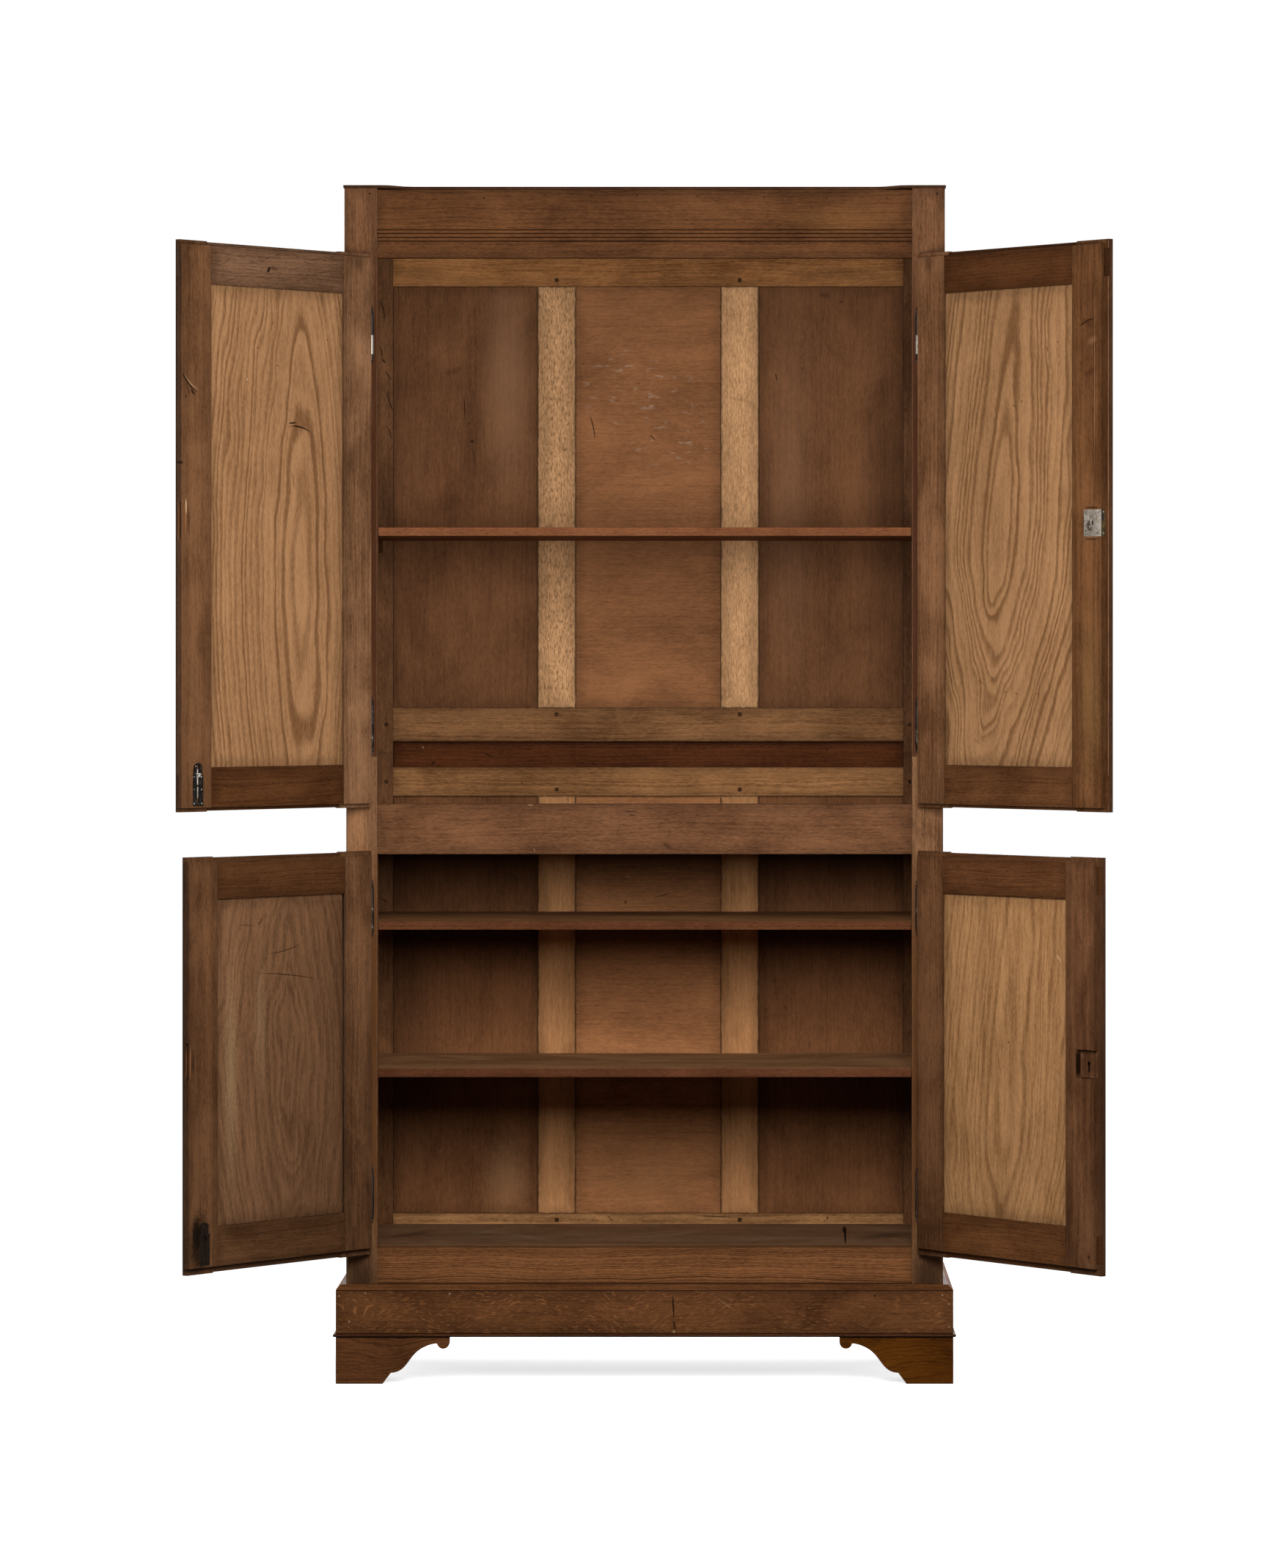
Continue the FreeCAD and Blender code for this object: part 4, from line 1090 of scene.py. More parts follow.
MARKS: dict[str, tuple[Mark, ...]] = {
    "upper_left_door_panel": (
        Mark(0.1901, 1.6869, 0.0034, 0.066, strength=0.95, angle=80, bend=-3.8),
        Mark(0.2102, 1.6934, 0.0044, 0.0217, strength=0.9, angle=-85),
        Mark(0.2075, 1.5942, 0.0023, 0.0361, SCRATCH, angle=6),
        *alike(Mark(0.0, 0.0, 0.0042, 0.0045, strength=0.7), (0.2599, 1.8647), (0.2959, 1.8211),
               (0.1234, 1.8423), (0.2473, 1.7924)),
        Mark(0.3209, 1.7655, 0.0052, 0.0056, "c9ab86", strength=0.6),
        Mark(0.2401, 1.242, 0.0182, 0.0832, "8a6444", strength=0.3, soft=0.9, angle=5),
    ),
    "upper_right_door_panel": (
        Mark(0.2629, 1.721, 0.0023, 0.0141, SCRATCH, angle=-59),
        Mark(0.2815, 1.7287, 0.0044, 0.0048, strength=0.75),
        Mark(0.3719, 1.8281, 0.0036, 0.0039, strength=0.6),
        Mark(0.3453, 1.8165, 0.0026, 0.0152, "4a2c16", angle=-23),
        Mark(0.1804, 1.24, 0.0021, 0.0359, FAINT, strength=0.7, angle=-65),
        Mark(0.2405, 1.2255, 0.0021, 0.0164, FAINT, strength=0.7, angle=80),
        Mark(0.2685, 1.2217, 0.0023, 0.0132, FAINT, strength=0.7, angle=-66),
        Mark(0.3213, 1.2219, 0.0021, 0.0221, FAINT, strength=0.6, angle=-83),
        Mark(0.1663, 1.1385, 0.002, 0.0389, FAINT, strength=0.6, angle=-63),
    ),
    "lower_left_door_panel": (
        Mark(0.375, 0.56, 0.05, 0.5, "a88c68", strength=0.3, soft=0.95, ragged=0.7),
        Mark(0.3, 0.65, 0.04, 0.3, "a88c68", strength=0.2, soft=0.95, ragged=0.7),
        Mark(0.237, 0.7759, 0.0023, 0.1133, GOUGE, strength=0.75, angle=-80, bend=-5.6),
        Mark(0.2301, 0.7333, 0.0023, 0.1834, GOUGE, strength=0.75, angle=84, bend=-3.3),
        Mark(0.2997, 0.8278, 0.0065, 0.0226, "3a2415", strength=0.6, angle=-45, ragged=0.6),
        Mark(0.3349, 0.8227, 0.0039, 0.0561, "3a2415", strength=0.4, angle=85, ragged=0.8),
        Mark(0.1627, 0.8269, 0.0039, 0.0042, strength=0.5),
    ),
    "lower_right_door_panel": (
        Mark(0.2581, 0.6172, 0.0042, 0.0045),
        Mark(0.2697, 0.6191, 0.0039, 0.0042, FAINT, strength=0.6),
        Mark(0.3895, 0.7678, 0.0052, 0.0213, "c8a983", strength=0.5, angle=-42, ragged=0.6),
        Mark(0.1042, 0.7449, 0.0039, 0.0697, "6a4628", strength=0.5, soft=0.9, angle=-5),
    ),
    "upper_left_door_free_stile": (
        Mark(0.4665, 1.7535, 0.0042, 0.06, strength=0.95, angle=46, bend=2),
        Mark(0.456, 1.739, 0.0046, 0.016, CLEFT, strength=0.95, soft=0.4, angle=42),
        Mark(0.472, 1.7305, 0.005, 0.0054, strength=0.85),
        Mark(0.46, 1.7525, 0.0044, 0.048, "9c7a5a", strength=0.55, angle=53, bend=2.4),
        Mark(0.4681, 1.745, 0.0031, 0.0306, STAIN, strength=0.7, angle=30),
        Mark(0.4818, 1.6178, 0.0065, 0.007, strength=0.9, soft=0.3),
        Mark(0.4635, 1.8396, 0.0034, 0.0037, strength=0.7),
        Mark(0.4547, 1.8022, 0.0117, 0.0411, "4a2c1a", strength=0.5, soft=0.9, angle=11,
             ragged=0.5),
        Mark(0.472, 1.542, 0.0046, 0.034, "e0b98c", strength=0.9, soft=0.6),
        Mark(0.4726, 1.52, 0.0026, 0.07, "b0744a", strength=0.75, soft=0.5, ragged=0.2),
        Mark(0.466, 1.52, 0.009, 0.066, "22130b", strength=0.55, soft=0.8, ragged=0.4),
        # pale line along the free edge's arris: worn edge and painted highlight
        Mark(0.481, 1.5, 0.0016, 1.9, "8d6446", strength=0.5, soft=0.6),
        Mark(0.4433, 1.068, 0.042, 0.11, "1a0e07", strength=0.45, soft=0.85, ragged=0.35),
    ),
    "upper_right_door_free_stile": (
        Mark(0.456, 1.86, 0.08, 0.38, "2a140a", strength=0.38, soft=0.95, ragged=0.4),
        Mark(0.456, 1.22, 0.08, 0.42, "8e6c42", strength=0.28, soft=0.95, ragged=0.4),
        Mark(0.4469, 1.8599, 0.0042, 0.0495, "1c0e06", strength=0.85, angle=72, bend=-1.2),
        Mark(0.4487, 1.858, 0.0208, 0.0384, BROWN, strength=0.55, soft=0.9, angle=-67,
             ragged=0.5),
        Mark(0.4577, 1.7739, 0.0195, 0.0608, BROWN, strength=0.55, soft=0.95, angle=64,
             ragged=0.4),
        Mark(0.4614, 1.8272, 0.0182, 0.0336, "9a7050", strength=0.3, soft=0.95, angle=69),
        Mark(0.4578, 1.9217, 0.0208, 0.0225, BROWN, strength=0.3, soft=0.95, angle=73),
        # the two pale lines here follow the arrises of the edge and the rebate: worn edges and
        # painted highlights
        Mark(0.4892, 1.5, 0.0018, 1.9, "b9896a", strength=0.7, soft=0.6),
        Mark(0.4855, 1.5, 0.005, 1.9, "2a1810", strength=0.6, soft=0.5),
        Mark(0.4668, 1.75, 0.0016, 0.42, "b08562", strength=0.6, soft=0.8),
        Mark(0.4652, 1.3, 0.0018, 0.36, DEEP_BROWN, strength=0.6, soft=0.8, ragged=0.3),
        Mark(0.46, 1.487, 0.046, 0.004, DEEP_BROWN, strength=0.75, soft=0.6, ragged=0.3),
        Mark(0.46, 1.541, 0.044, 0.0034, CLEFT, strength=0.85, soft=0.6),
        Mark(0.439, 1.515, 0.0026, 0.052, CLEFT, strength=0.85, soft=0.6),
    ),
    "lower_right_door_free_stile": (
        Mark(0.4704, 0.261, 0.0065, 0.007, strength=0.9, soft=0.6),
        Mark(0.4704, 0.261, 0.0117, 0.0325, STAIN, strength=0.5, soft=0.95),
        Mark(0.4478, 0.8037, 0.0065, 0.0319, GOUGE, strength=0.4, soft=0.9, angle=-23,
             ragged=0.6),
        # painted shade in the empty lock's shallow recess and along its edges
        Mark(0.4608, 0.59, 0.056, 0.059, "2a180e", strength=0.35, soft=0.5),
        Mark(0.4386, 0.59, 0.003, 0.06, SHADOW, strength=0.9),
        Mark(0.4608, 0.6136, 0.06, 0.003, SHADOW, strength=0.9),
        Mark(0.4608, 0.5664, 0.056, 0.0022, SHADOW, strength=0.7),
        Mark(0.4612, 0.5905, 0.0084, 0.01, BLACK, strength=0.97, soft=0.25),
        Mark(0.4612, 0.5815, 0.0052, 0.015, BLACK, strength=0.95, soft=0.25),
        *alike(Mark(0.0, 0.0, 0.003, 0.003, BLACK, strength=0.9, soft=0.4), (0.4425, 0.6095),
               (0.4775, 0.6095), (0.4425, 0.5705), (0.4775, 0.5705)),
        Mark(0.4868, 0.59, 0.0075, 1.6, "36241d", strength=0.45, soft=0.3),
    ),
    "lower_left_door_free_stile": (
        Mark(0.479, 0.5945, 0.003, 0.064, "a86a42", strength=0.8, soft=0.5, ragged=0.2),
        Mark(0.472, 0.5945, 0.009, 0.06, "1c100a", strength=0.6, soft=0.8, ragged=0.4),
        Mark(0.456, 0.28, 0.07, 0.15, "0a0604", strength=0.86, soft=0.7, ragged=0.35),
        Mark(0.464, 0.3, 0.028, 0.07, BLACK, strength=0.8, soft=0.6, ragged=0.5),
        Mark(0.464, 0.275, 0.0028, 0.052, BLACK, strength=0.9, soft=0.5, angle=-38, ragged=0.2),
    ),
    "lower_left_door_hinge_stile": (
        Mark(0.0269, 0.3467, 0.0078, 0.038, RUST, strength=0.6, soft=0.8, angle=13, ragged=0.5),
    ),
    "upper_left_door_hinge_stile": (
        Mark(0.0458, 1.9775, 0.0312, 0.049, "2e1a0f", strength=0.45, soft=0.95),
    ),
    "upper_right_door_hinge_stile": (
        Mark(0.045, 1.9789, 0.0312, 0.0462, "2e1a0f", strength=0.45, soft=0.95),
    ),
    "upper_left_door_rails": (
        Mark(1.957, 0.272, 0.0078, 0.0172, "120904", strength=0.9, angle=-56, ragged=0.6),
        Mark(1.96, 0.26, 0.01, 0.03, "2a1810", strength=0.6, soft=0.9, angle=7, ragged=0.6),
        *alike(Mark(0.0, 0.0, 0.0018, 0.0, "241510", strength=0.6, ragged=0.45),
               (1.9683, 0.3723, 0.0372, -29), (1.975, 0.3394, 0.0278, 14, 1.4),
               (1.9688, 0.3109, 0.0274, 9), (1.9739, 0.2867, 0.0382, -15, 1.4),
               (1.9862, 0.2444, 0.0403, -15, 1.4), (1.985, 0.2063, 0.0296, 22, -1.4),
               (1.9743, 0.1772, 0.0284, 14), (1.9811, 0.1571, 0.0405, -13, 1.4),
               (1.9845, 0.1158, 0.0418, 3, 1.4), (1.9344, 0.3661, 0.0396, -15, -1.4),
               (1.9431, 0.3296, 0.0332, -10), (1.9428, 0.284, 0.0545, 4, 1.4),
               (1.9415, 0.2317, 0.0431, -5), (1.9449, 0.1881, 0.0359, -9, 1.4),
               (1.9553, 0.3144, 0.0425, 3, 1.4), (1.9611, 0.2108, 0.0536, -9, -1.4),
               (1.9595, 0.1388, 0.0561, -8, 1.4)),
    ),
    "upper_back_panels": (
        Mark(-0.3394, 1.7449, 0.0023, 0.0512, strength=0.85, angle=-2),
        Mark(-0.3252, 1.6846, 0.0078, 0.0084, strength=0.75, ragged=0.4),
        Mark(-0.3306, 1.7172, 0.0039, 0.0042, strength=0.7),
        Mark(-0.3225, 1.6575, 0.0104, 0.053, "20130a", strength=0.35, soft=0.95, angle=-6),
        Mark(-0.3577, 1.8147, 0.0208, 0.0611, "2a1a0e", strength=0.4, soft=0.95, angle=73,
             bend=0.75, ragged=0.4),
        Mark(-0.3306, 1.72, 0.05, 0.33, "241509", strength=0.25, soft=0.98, angle=-1),
        Mark(-0.262, 1.8, 0.13, 0.6, "a87c5c", strength=0.3, soft=0.98),
        Mark(-0.4241, 1.6467, 0.0338, 0.2049, "6a4a30", strength=0.25, soft=0.98, angle=-1),
        Mark(0.2366, 1.8039, 0.0034, 0.0181, strength=0.9, angle=-14),
        Mark(0.2847, 1.8202, 0.0042, 0.0045),
        Mark(0.3565, 1.9421, 0.0042, 0.0045),
        Mark(0.326, 1.9543, 0.0156, 0.0338, STAIN, strength=0.5, soft=0.9, angle=-85,
             ragged=0.5),
        Mark(0.262, 1.58, 0.12, 0.9, "a87c5c", strength=0.18, soft=0.98),
        # darker towards the right post
        Mark(0.44, 1.58, 0.13, 1.1, DEEP_BROWN, strength=0.32, soft=0.98),
    ),
    "lower_back_panels": (
        # darker towards the left post
        Mark(-0.45, 0.6, 0.17, 1.1, DEEP_BROWN, strength=0.42, soft=0.98),
        Mark(-0.262, 0.32, 0.12, 0.24, "b98a62", strength=0.35, soft=0.95, ragged=0.3),
    ),
    "upper_back_posts": (
        Mark(0.0145, 1.9259, 0.0034, 0.0479, angle=-12, bend=2.3),
        Mark(0.0105, 1.85, 0.0029, 0.0302, angle=-14, bend=1.8),
        Mark(0.0145, 1.833, 0.0039, 0.0126, strength=0.85, angle=-36),
        Mark(0.0233, 1.8059, 0.0031, 0.0264, angle=-34, bend=-1.7),
        Mark(0.0247, 1.7592, 0.0034, 0.0547, angle=-16, bend=-2.3),
        Mark(0.026, 1.7009, 0.0031, 0.0343, angle=-20, bend=2.5),
    ),
    "lower_back_posts": (
        Mark(0.0152, 0.8369, 0.0031, 0.0203, angle=-60, bend=-1.7),
    ),
    "upper_back_rails": (
        Mark(1.9936, 0.3572, 0.0442, 0.2854, "2a1a0d", strength=0.35, soft=0.9),
        Mark(1.9936, -0.4119, 0.0442, 0.1756, "2a1a0d", strength=0.35, soft=0.95),
    ),
    "lower_back_rails": (
        Mark(1.0531, -0.233, 0.0044, 0.0048, angle=-90),
        Mark(0.2508, 0.3308, 0.0052, 0.0056, strength=0.85, angle=-90),
        Mark(0.2535, 0.1261, 0.0031, 0.0966, "1c0f07", angle=-2, ragged=0.4),
        Mark(0.2501, -0.0704, 0.0031, 0.0176, RUST, strength=0.7, angle=-48),
        Mark(0.261, -0.0087, 0.0023, 0.0659, "3a2412", strength=0.6, angle=-1, ragged=0.4),
    ),
    "upper_back_muntins": (
        Mark(0.0005, 1.7619, 0.0091, 0.0718, "6b4a2a", strength=0.35, soft=0.9, angle=-78,
             ragged=0.5),
    ),
    "join_strip": (
        Mark(1.1193, -0.4167, 0.0044, 0.0048, "8a705a", strength=0.7, angle=-90),
        Mark(1.1057, -0.2966, 0.0031, 0.021, PIN_HOLE, strength=0.85, angle=-25, ragged=0.3),
        Mark(1.0901, -0.3983, 0.0044, 0.0104, PIN_HOLE, strength=0.85, angle=45, ragged=0.3),
        *alike(Mark(0.0, 0.0, 0.0036, 0.0039, PIN_HOLE, angle=-90), (1.0962, -0.3488),
               (1.1152, -0.2226), (1.0908, -0.1806), (1.0895, -0.1032), (1.118, 0.103),
               (1.1152, 0.331), (1.0908, 0.4015)),
    ),
    "frieze": (
        *alike(Mark(0.0, 0.0, 0.0036, 0.0039, strength=0.85, angle=-90), (2.1017, -0.5197),
               (2.0991, -0.4053), (2.0991, -0.2845), (2.1043, -0.1779), (2.103, -0.0935),
               (2.1043, -0.0142), (2.103, 0.0936), (2.1017, 0.2119), (2.1004, 0.3223),
               (2.0991, 0.4289)),
        Mark(2.0601, 0.3457, 0.0676, 0.2666, "9a6a38", strength=0.22, soft=0.95),
    ),
    "mid_rail": (
        Mark(1.0239, -0.202, 0.0034, 0.0155, "b08a68", strength=0.6, angle=-5, ragged=0.5),
        Mark(0.9446, -0.1955, 0.0021, 0.0082, "b08a68", strength=0.6, angle=-59),
        Mark(1.0122, -0.0279, 0.0042, 0.0295, "1c0f07", strength=0.6, angle=-3, ragged=0.8),
        Mark(1.0057, -0.022, 0.0034, 0.0113, "1c0f07", strength=0.7, angle=-7, ragged=0.6),
        Mark(0.9504, 0.041, 0.0078, 0.0191, "2c190e", strength=0.6, angle=-36, ragged=0.7),
        Mark(0.9517, 0.0423, 0.0156, 0.0415, "4a2c1a", strength=0.35, soft=0.95, angle=-24),
    ),
    "upper_front_posts": (
        Mark(0.0155, 2.1069, 0.0052, 0.0056, strength=0.85),
    ),
    "floor_boards": (
        Mark(0.1694, 0.3594, 0.005, 0.3963, "060302", strength=0.95, angle=89),
        Mark(0.2837, 0.3602, 0.009, 0.18, "060302", strength=0.95, angle=89),
        Mark(0.1731, 0.4423, 0.012, 0.0637, "0c0704", strength=0.6, angle=-27, ragged=0.8),
        Mark(0.3811, 0.3938, 0.014, 0.1898, "0c0704", strength=0.75, angle=0, ragged=0.5),
        Mark(0.1745, -0.2283, 0.04, 0.3377, DUST, strength=0.3, soft=0.95, angle=-52, bend=2,
             ragged=0.3),
        Mark(0.2426, -0.2958, 0.034, 0.2603, DUST, strength=0.25, soft=0.95, angle=66, bend=1.2,
             ragged=0.3),
        Mark(0.2012, 0.0517, 0.044, 0.2678, DUST, strength=0.28, soft=0.95, angle=51, bend=-1.4,
             ragged=0.3),
        Mark(0.1194, 0.2172, 0.05, 0.2361, "83705a", strength=0.25, soft=0.95, angle=38,
             ragged=0.3),
        Mark(0.2012, -0.4271, 0.06, 0.2312, GRIME, strength=0.45, soft=0.98, angle=63),
        Mark(0.1739, 0.4229, 0.09, 0.238, GRIME, strength=0.5, soft=0.98, angle=60),
    ),
    "middle_shelf": (
        Mark(0.2678, -0.1513, 0.06, 0.4028, DUST, strength=0.2, soft=0.95, angle=-20,
             ragged=0.3),
    ),
    "lower_shelf": (
        Mark(0.2497, -0.0373, 0.06, 0.4616, DUST, strength=0.22, soft=0.95, angle=-13,
             ragged=0.3),
        Mark(0.2701, -0.365, 0.06, 0.2473, GRIME, strength=0.35, soft=0.98, angle=-52),
    ),
    "plinth_front_board": (
        Mark(0.1374, 0.0509, 0.0039, 0.0533, "0e0603", strength=0.9, angle=-87, ragged=0.3),
        Mark(0.103, 0.0528, 0.0047, 0.0214, "1a0d06", angle=-79),
        Mark(0.092, 0.0522, 0.0065, 0.007, "a98a68", angle=-90),
        Mark(0.1413, 0.143, 0.0023, 0.0482, "9a7a5a", strength=0.5, angle=-36, ragged=0.3),
        Mark(0.1503, 0.1482, 0.0018, 0.0264, "9a7a5a", strength=0.4, angle=-32, ragged=0.3),
        *alike(Mark(0.0, 0.0, 0.0039, 0.0042, "b89a78", strength=0.7, angle=-90), (0.1659, -0.5447),
               (0.1555, -0.5408), (0.1607, -0.4941), (0.1568, 0.5271), (0.1413, 0.5388),
               (0.101, 0.5388), (0.1101, -0.5226)),
        Mark(0.1555, 0.4077, 0.0057, 0.0062, angle=-90),
        Mark(0.1594, -0.3448, 0.0044, 0.0048, "b89a78", angle=-90),
        Mark(0.0971, 0.3506, 0.0117, 0.0254, RUST, strength=0.4, soft=0.9, angle=-6,
             ragged=0.5),
    ),
}

CENTRE_MARKS: dict[str, tuple[Mark, ...]] = {
    "upper_back_panels": (
        Mark(1.7111, -0.1016, 0.0031, 0.0554, angle=-78, bend=1.7),
        Mark(1.6921, 0.0082, 0.0029, 0.0176, strength=0.7, angle=-48),
        Mark(1.7917, -0.0175, 0.0052, 0.0056, SCRATCH, strength=0.45, angle=-90),
    ),
    "lower_back_panels": (
        Mark(0.8457, 0.0252, 0.0023, 0.0376, strength=0.7, angle=13),
        Mark(0.32, 0.0, 0.2, 0.34, "b07c52", strength=0.25, soft=0.98),
        Mark(0.8335, -0.0419, 0.0052, 0.0056, angle=-90),
        Mark(0.881, -0.0379, 0.0044, 0.0048, "b89878", strength=0.7, angle=-90),
    ),
}

SCUFFS: dict[str, tuple[Mark, ...]] = {
    "upper_back_panels": (
        Mark(1.7483, 0.0048, 0.2275, 0.3786, "b5a594", strength=0.5, angle=-41),
    ),
}


def second_tone(name: str) -> Optional[tuple[float, str]]:
    """Find where a node's boards change tone.

    Args:
        name: The node's name.

    Returns:
        The place past which the other tone shows, and that tone; None if there is none.
    """
    code = TONES.get(name + " top")
    if code is None:
        return None
    return (SHELF_FRONT if name.endswith("shelf") else STAGE_MIDDLE[name.split("_")[0]], code)


def wood(name: str, base: Timber = Timber(), **changes: float) -> Timber:
    """Give a look the written tone of a board.

    Args:
        name: The board's name in the table of tones.
        base: The look to start from.
        changes: Fields that differ from it.

    Returns:
        The board's look.
    """
    return replace(base, tone=TONES[name], **changes)


PLAIN = Timber()
PLINTH = Timber(contrast=0.20, fleck=0.90, pores=0.30, pore_size=0.9, streak=0.4, wave=0.2,
                cloud=0.75, grit=0.40)
BARS = Timber(ring=0.0043, deep=0.030, contrast=1.25, heart=0.08, spread=0.5, wave=0.38, pores=0.6,
              streak=0.3, cloud=0.4, grit=0.40)
FIGURED = Timber(contrast=0.92, spread=0.38, redden=0.13, ring=0.0125, deep=0.022, streak=0.40,
                 cloud=0.32, pores=0.32, pore_size=1.0, wave=0.42, peak=0.28, grit=0.40)
BACK_BOARD = Timber(contrast=0.14, pores=0.18, streak=0.34, cloud=0.66, spread=0.38, redden=0.03,
                    grit=0.42)
MUNTIN = Timber(contrast=0.2, spread=0.34, redden=0.05, pores=0.70, pore_size=1.5, pore_run=4.0,
                streak=0.35, cloud=0.45, grit=0.75)
PLAIN_MUNTIN = replace(MUNTIN, pores=0.25, pore_size=1.0, pore_run=8.0, streak=0.55, contrast=0.45,
                       ring=0.0045, grit=0.35)
STILE = Timber(contrast=0.24, spread=0.46, pores=0.45, pore_size=0.9, cloud=0.95, streak=0.60,
               grit=0.42)
FREE_STILE = replace(STILE, heart=0.45, contrast=0.35)
RAIL = Timber(contrast=0.34, spread=0.44, pores=0.45, pore_size=0.9, streak=0.50, cloud=0.75,
              grit=0.42)
DUSTY = Timber(contrast=0.3, spread=0.36, cloud=0.8, rough=0.62, streak=0.4, grit=0.45)


@dataclass
class Carcase:
    """All boards of the plinth, the lower case and the upper case."""

    def boards(self) -> dict[str, Board]:
        """List the finish of every board of the carcase.

        Returns:
            The finish of each node by its name.
        """
        made: dict[str, Board] = {}

        def add(name: str, grain: Grain = Grain.UPRIGHT, look: Timber = PLAIN,
                **settings: object) -> None:
            """Add one board with its marks."""
            settings.setdefault("marks", MARKS.get(name, ()))
            made[name] = Board(wood(name, look), grain, beyond=second_tone(name), **settings)

        seams = tuple(Mark(z, 0.0, wide, ACROSS_ALL, "100804", strength=0.8, soft=0.6)
                      for z, wide in ((0.0893, 0.0026), (0.1652, 0.0034)))
        add("plinth_front_board", Grain.LEVEL, PLINTH, marks=MARKS["plinth_front_board"] + seams)
        add("plinth_side_boards", Grain.SIDE_LEVEL, PLINTH, centres=(-0.5355, 0.5355))
        add("plinth_back_board", Grain.LEVEL)
        add("plinth_cap", Grain.LEVEL, RAIL, corner=CORNER)
        # the bead's lower half, which faces down, is painted near black: painted shade
        add("plinth_bead", Grain.LEVEL, RAIL, corner=CORNER,
            marks=(Mark(0.0836, 0.0, 0.0034, ACROSS_ALL, "080402", strength=0.9, soft=0.5),))
        for name in ("left_front_foot", "right_front_foot"):
            add(name, Grain.LEVEL, replace(PLINTH, fleck=0.0, contrast=0.5, wave=1.2),
                corner=CORNER)
        add("back_feet", Grain.SIDE_LEVEL, PLINTH)
        add("bottom_rail", Grain.LEVEL, BARS, window=BETWEEN_POSTS,
            marks=(Mark(0.1762, 0.0, 0.0044, ACROSS_ALL, "140a05", strength=0.75, soft=0.6),))
        add("mid_rail", Grain.LEVEL, replace(RAIL, contrast=0.2), window=BETWEEN_POSTS)
        add("frieze", Grain.LEVEL, RAIL, window=BETWEEN_POSTS,
            marks=MARKS["frieze"] + tuple(Mark(z, 0.0, 0.0030, 6.0, "100804", strength=0.75)
                                          for z in REEDS))
        add("top_board", Grain.SHELF, RAIL)
        for stage in ("lower", "upper"):
            low, high = BACK_PANEL_Z[stage]
            strip = DOOR_SHADOW_STRIPS[stage]
            # each post's inner strip: painted shadow of the open door, a pale arris line (worn edge
            # and painted highlight), a dark patch low down
            inner = [mark for side in (-1, 1) for mark in (
                Mark(side * 0.0275, *strip, strength=0.85, soft=0.35),
                Mark(side * 0.0288, 1.1, 0.0014, 4.0, "b98660", strength=0.6),
                Mark(side * 0.0010, 0.18, 0.0900, 0.1900, "1c0f07", strength=0.6, soft=0.9))]
            add(stage + "_front_posts", look=STILE, centres=POSTS,
                marks=MARKS.get(stage + "_front_posts", ()) + tuple(inner))
            add(stage + "_back_posts", look=STILE, centres=POSTS)
            add(stage + "_side_rails", Grain.SIDE_LEVEL, RAIL, centres=SIDES)
            add(stage + "_side_panels", Grain.SIDE_UPRIGHT, BACK_BOARD, centres=SIDES)
            add(stage + "_back_rails", Grain.LEVEL, RAIL, window=BETWEEN_BACK_POSTS,
                specular=INSIDE_SHINE)
            add(stage + "_back_muntins", Grain.UPRIGHT,
                MUNTIN if stage == "upper" else PLAIN_MUNTIN, centres=MUNTINS,
                window=(None, None, low, high), rim=0.92, rim_width=0.0045, specular=INSIDE_SHINE)
            name = stage + "_back_panels"
            centre = Board(wood(name + " centre", BACK_BOARD, cloud=0.6, streak=0.3), Grain.LEVEL,
                           marks=CENTRE_MARKS.get(name, ()), scuffs=SCUFFS.get(name, ()), rim=0.7,
                           haze=0.25, sights=((low, high, -CENTRE_PANEL, CENTRE_PANEL),))
            add(name, Grain.UPRIGHT, BACK_BOARD, other=centre, other_half=MUNTINS[1],
                sights=((-BACK_HALF, -SIDE_PANEL, low, high), (SIDE_PANEL, BACK_HALF, low, high)),
                rim=0.7, haze=0.25, specular=INSIDE_SHINE,
                under=PAINTED_SHELF_SHADE if stage == "lower" else ())
        add("back_pegs", rim=0.0)
        add("join_strip", Grain.LEVEL, RAIL, specular=INSIDE_SHINE)
        for name in ("floor_boards", "lower_shelf", "middle_shelf", "upper_shelf"):
            add(name, Grain.SHELF, DUSTY, rim=0.0, specular=INSIDE_SHINE)
        add("shelf_cleats", Grain.SIDE_LEVEL)
        return made


@dataclass
class Doors:
    """The boards of the four doors."""

    def boards(self) -> dict[str, Board]:
        """List the finish of every board of the doors.

        Returns:
            The finish of each node by its name.
        """
        panels = {
            "upper_left": replace(FIGURED, heart=0.186, crown=1.43, core=0.55, wave=0.55),
            "upper_right": replace(FIGURED, heart=0.0745, crown=1.43, core=0.07, tilt=0.10,
                                   ring=0.0135, peak=0.20, lean=0.13, wave=0.6),
            "lower_left": replace(FIGURED, heart=0.225, crown=0.58, contrast=0.46, spread=0.36,
                                  redden=0.04, streak=0.60, ring=0.0135, core=0.10, peak=0.26,
                                  grit=0.45, wave=0.8),
            "lower_right": replace(FIGURED, heart=0.20, deep=0.026, tilt=0.10, contrast=0.46,
                                   streak=0.60, peak=0.15, core=0.05, crown=0.45, lean=0.10,
                                   ring=0.0125, wave=0.55),
        }
        made: dict[str, Board] = {}
        for leaf in LEAVES:
            name = leaf.name
            looks = {"hinge_stile": (STILE, Grain.UPRIGHT, (None,) * 4),
                     "free_stile": (FREE_STILE, Grain.UPRIGHT, (None,) * 4),
                     "rails": (RAIL, Grain.LEVEL, (None, None) + SIGHT),
                     "panel": (panels[name.removesuffix("_door")], Grain.UPRIGHT,
                               SIGHT + DOOR_PANEL_Z[leaf.stage])}
            for part, (look, grain, window) in looks.items():
                full = f"{name}_{part}"
                made[full] = Board(wood(full, look), grain, leaf, marks=MARKS.get(full, ()),
                                   window=window, beyond=second_tone(full))
        return made


# -------------------- metal

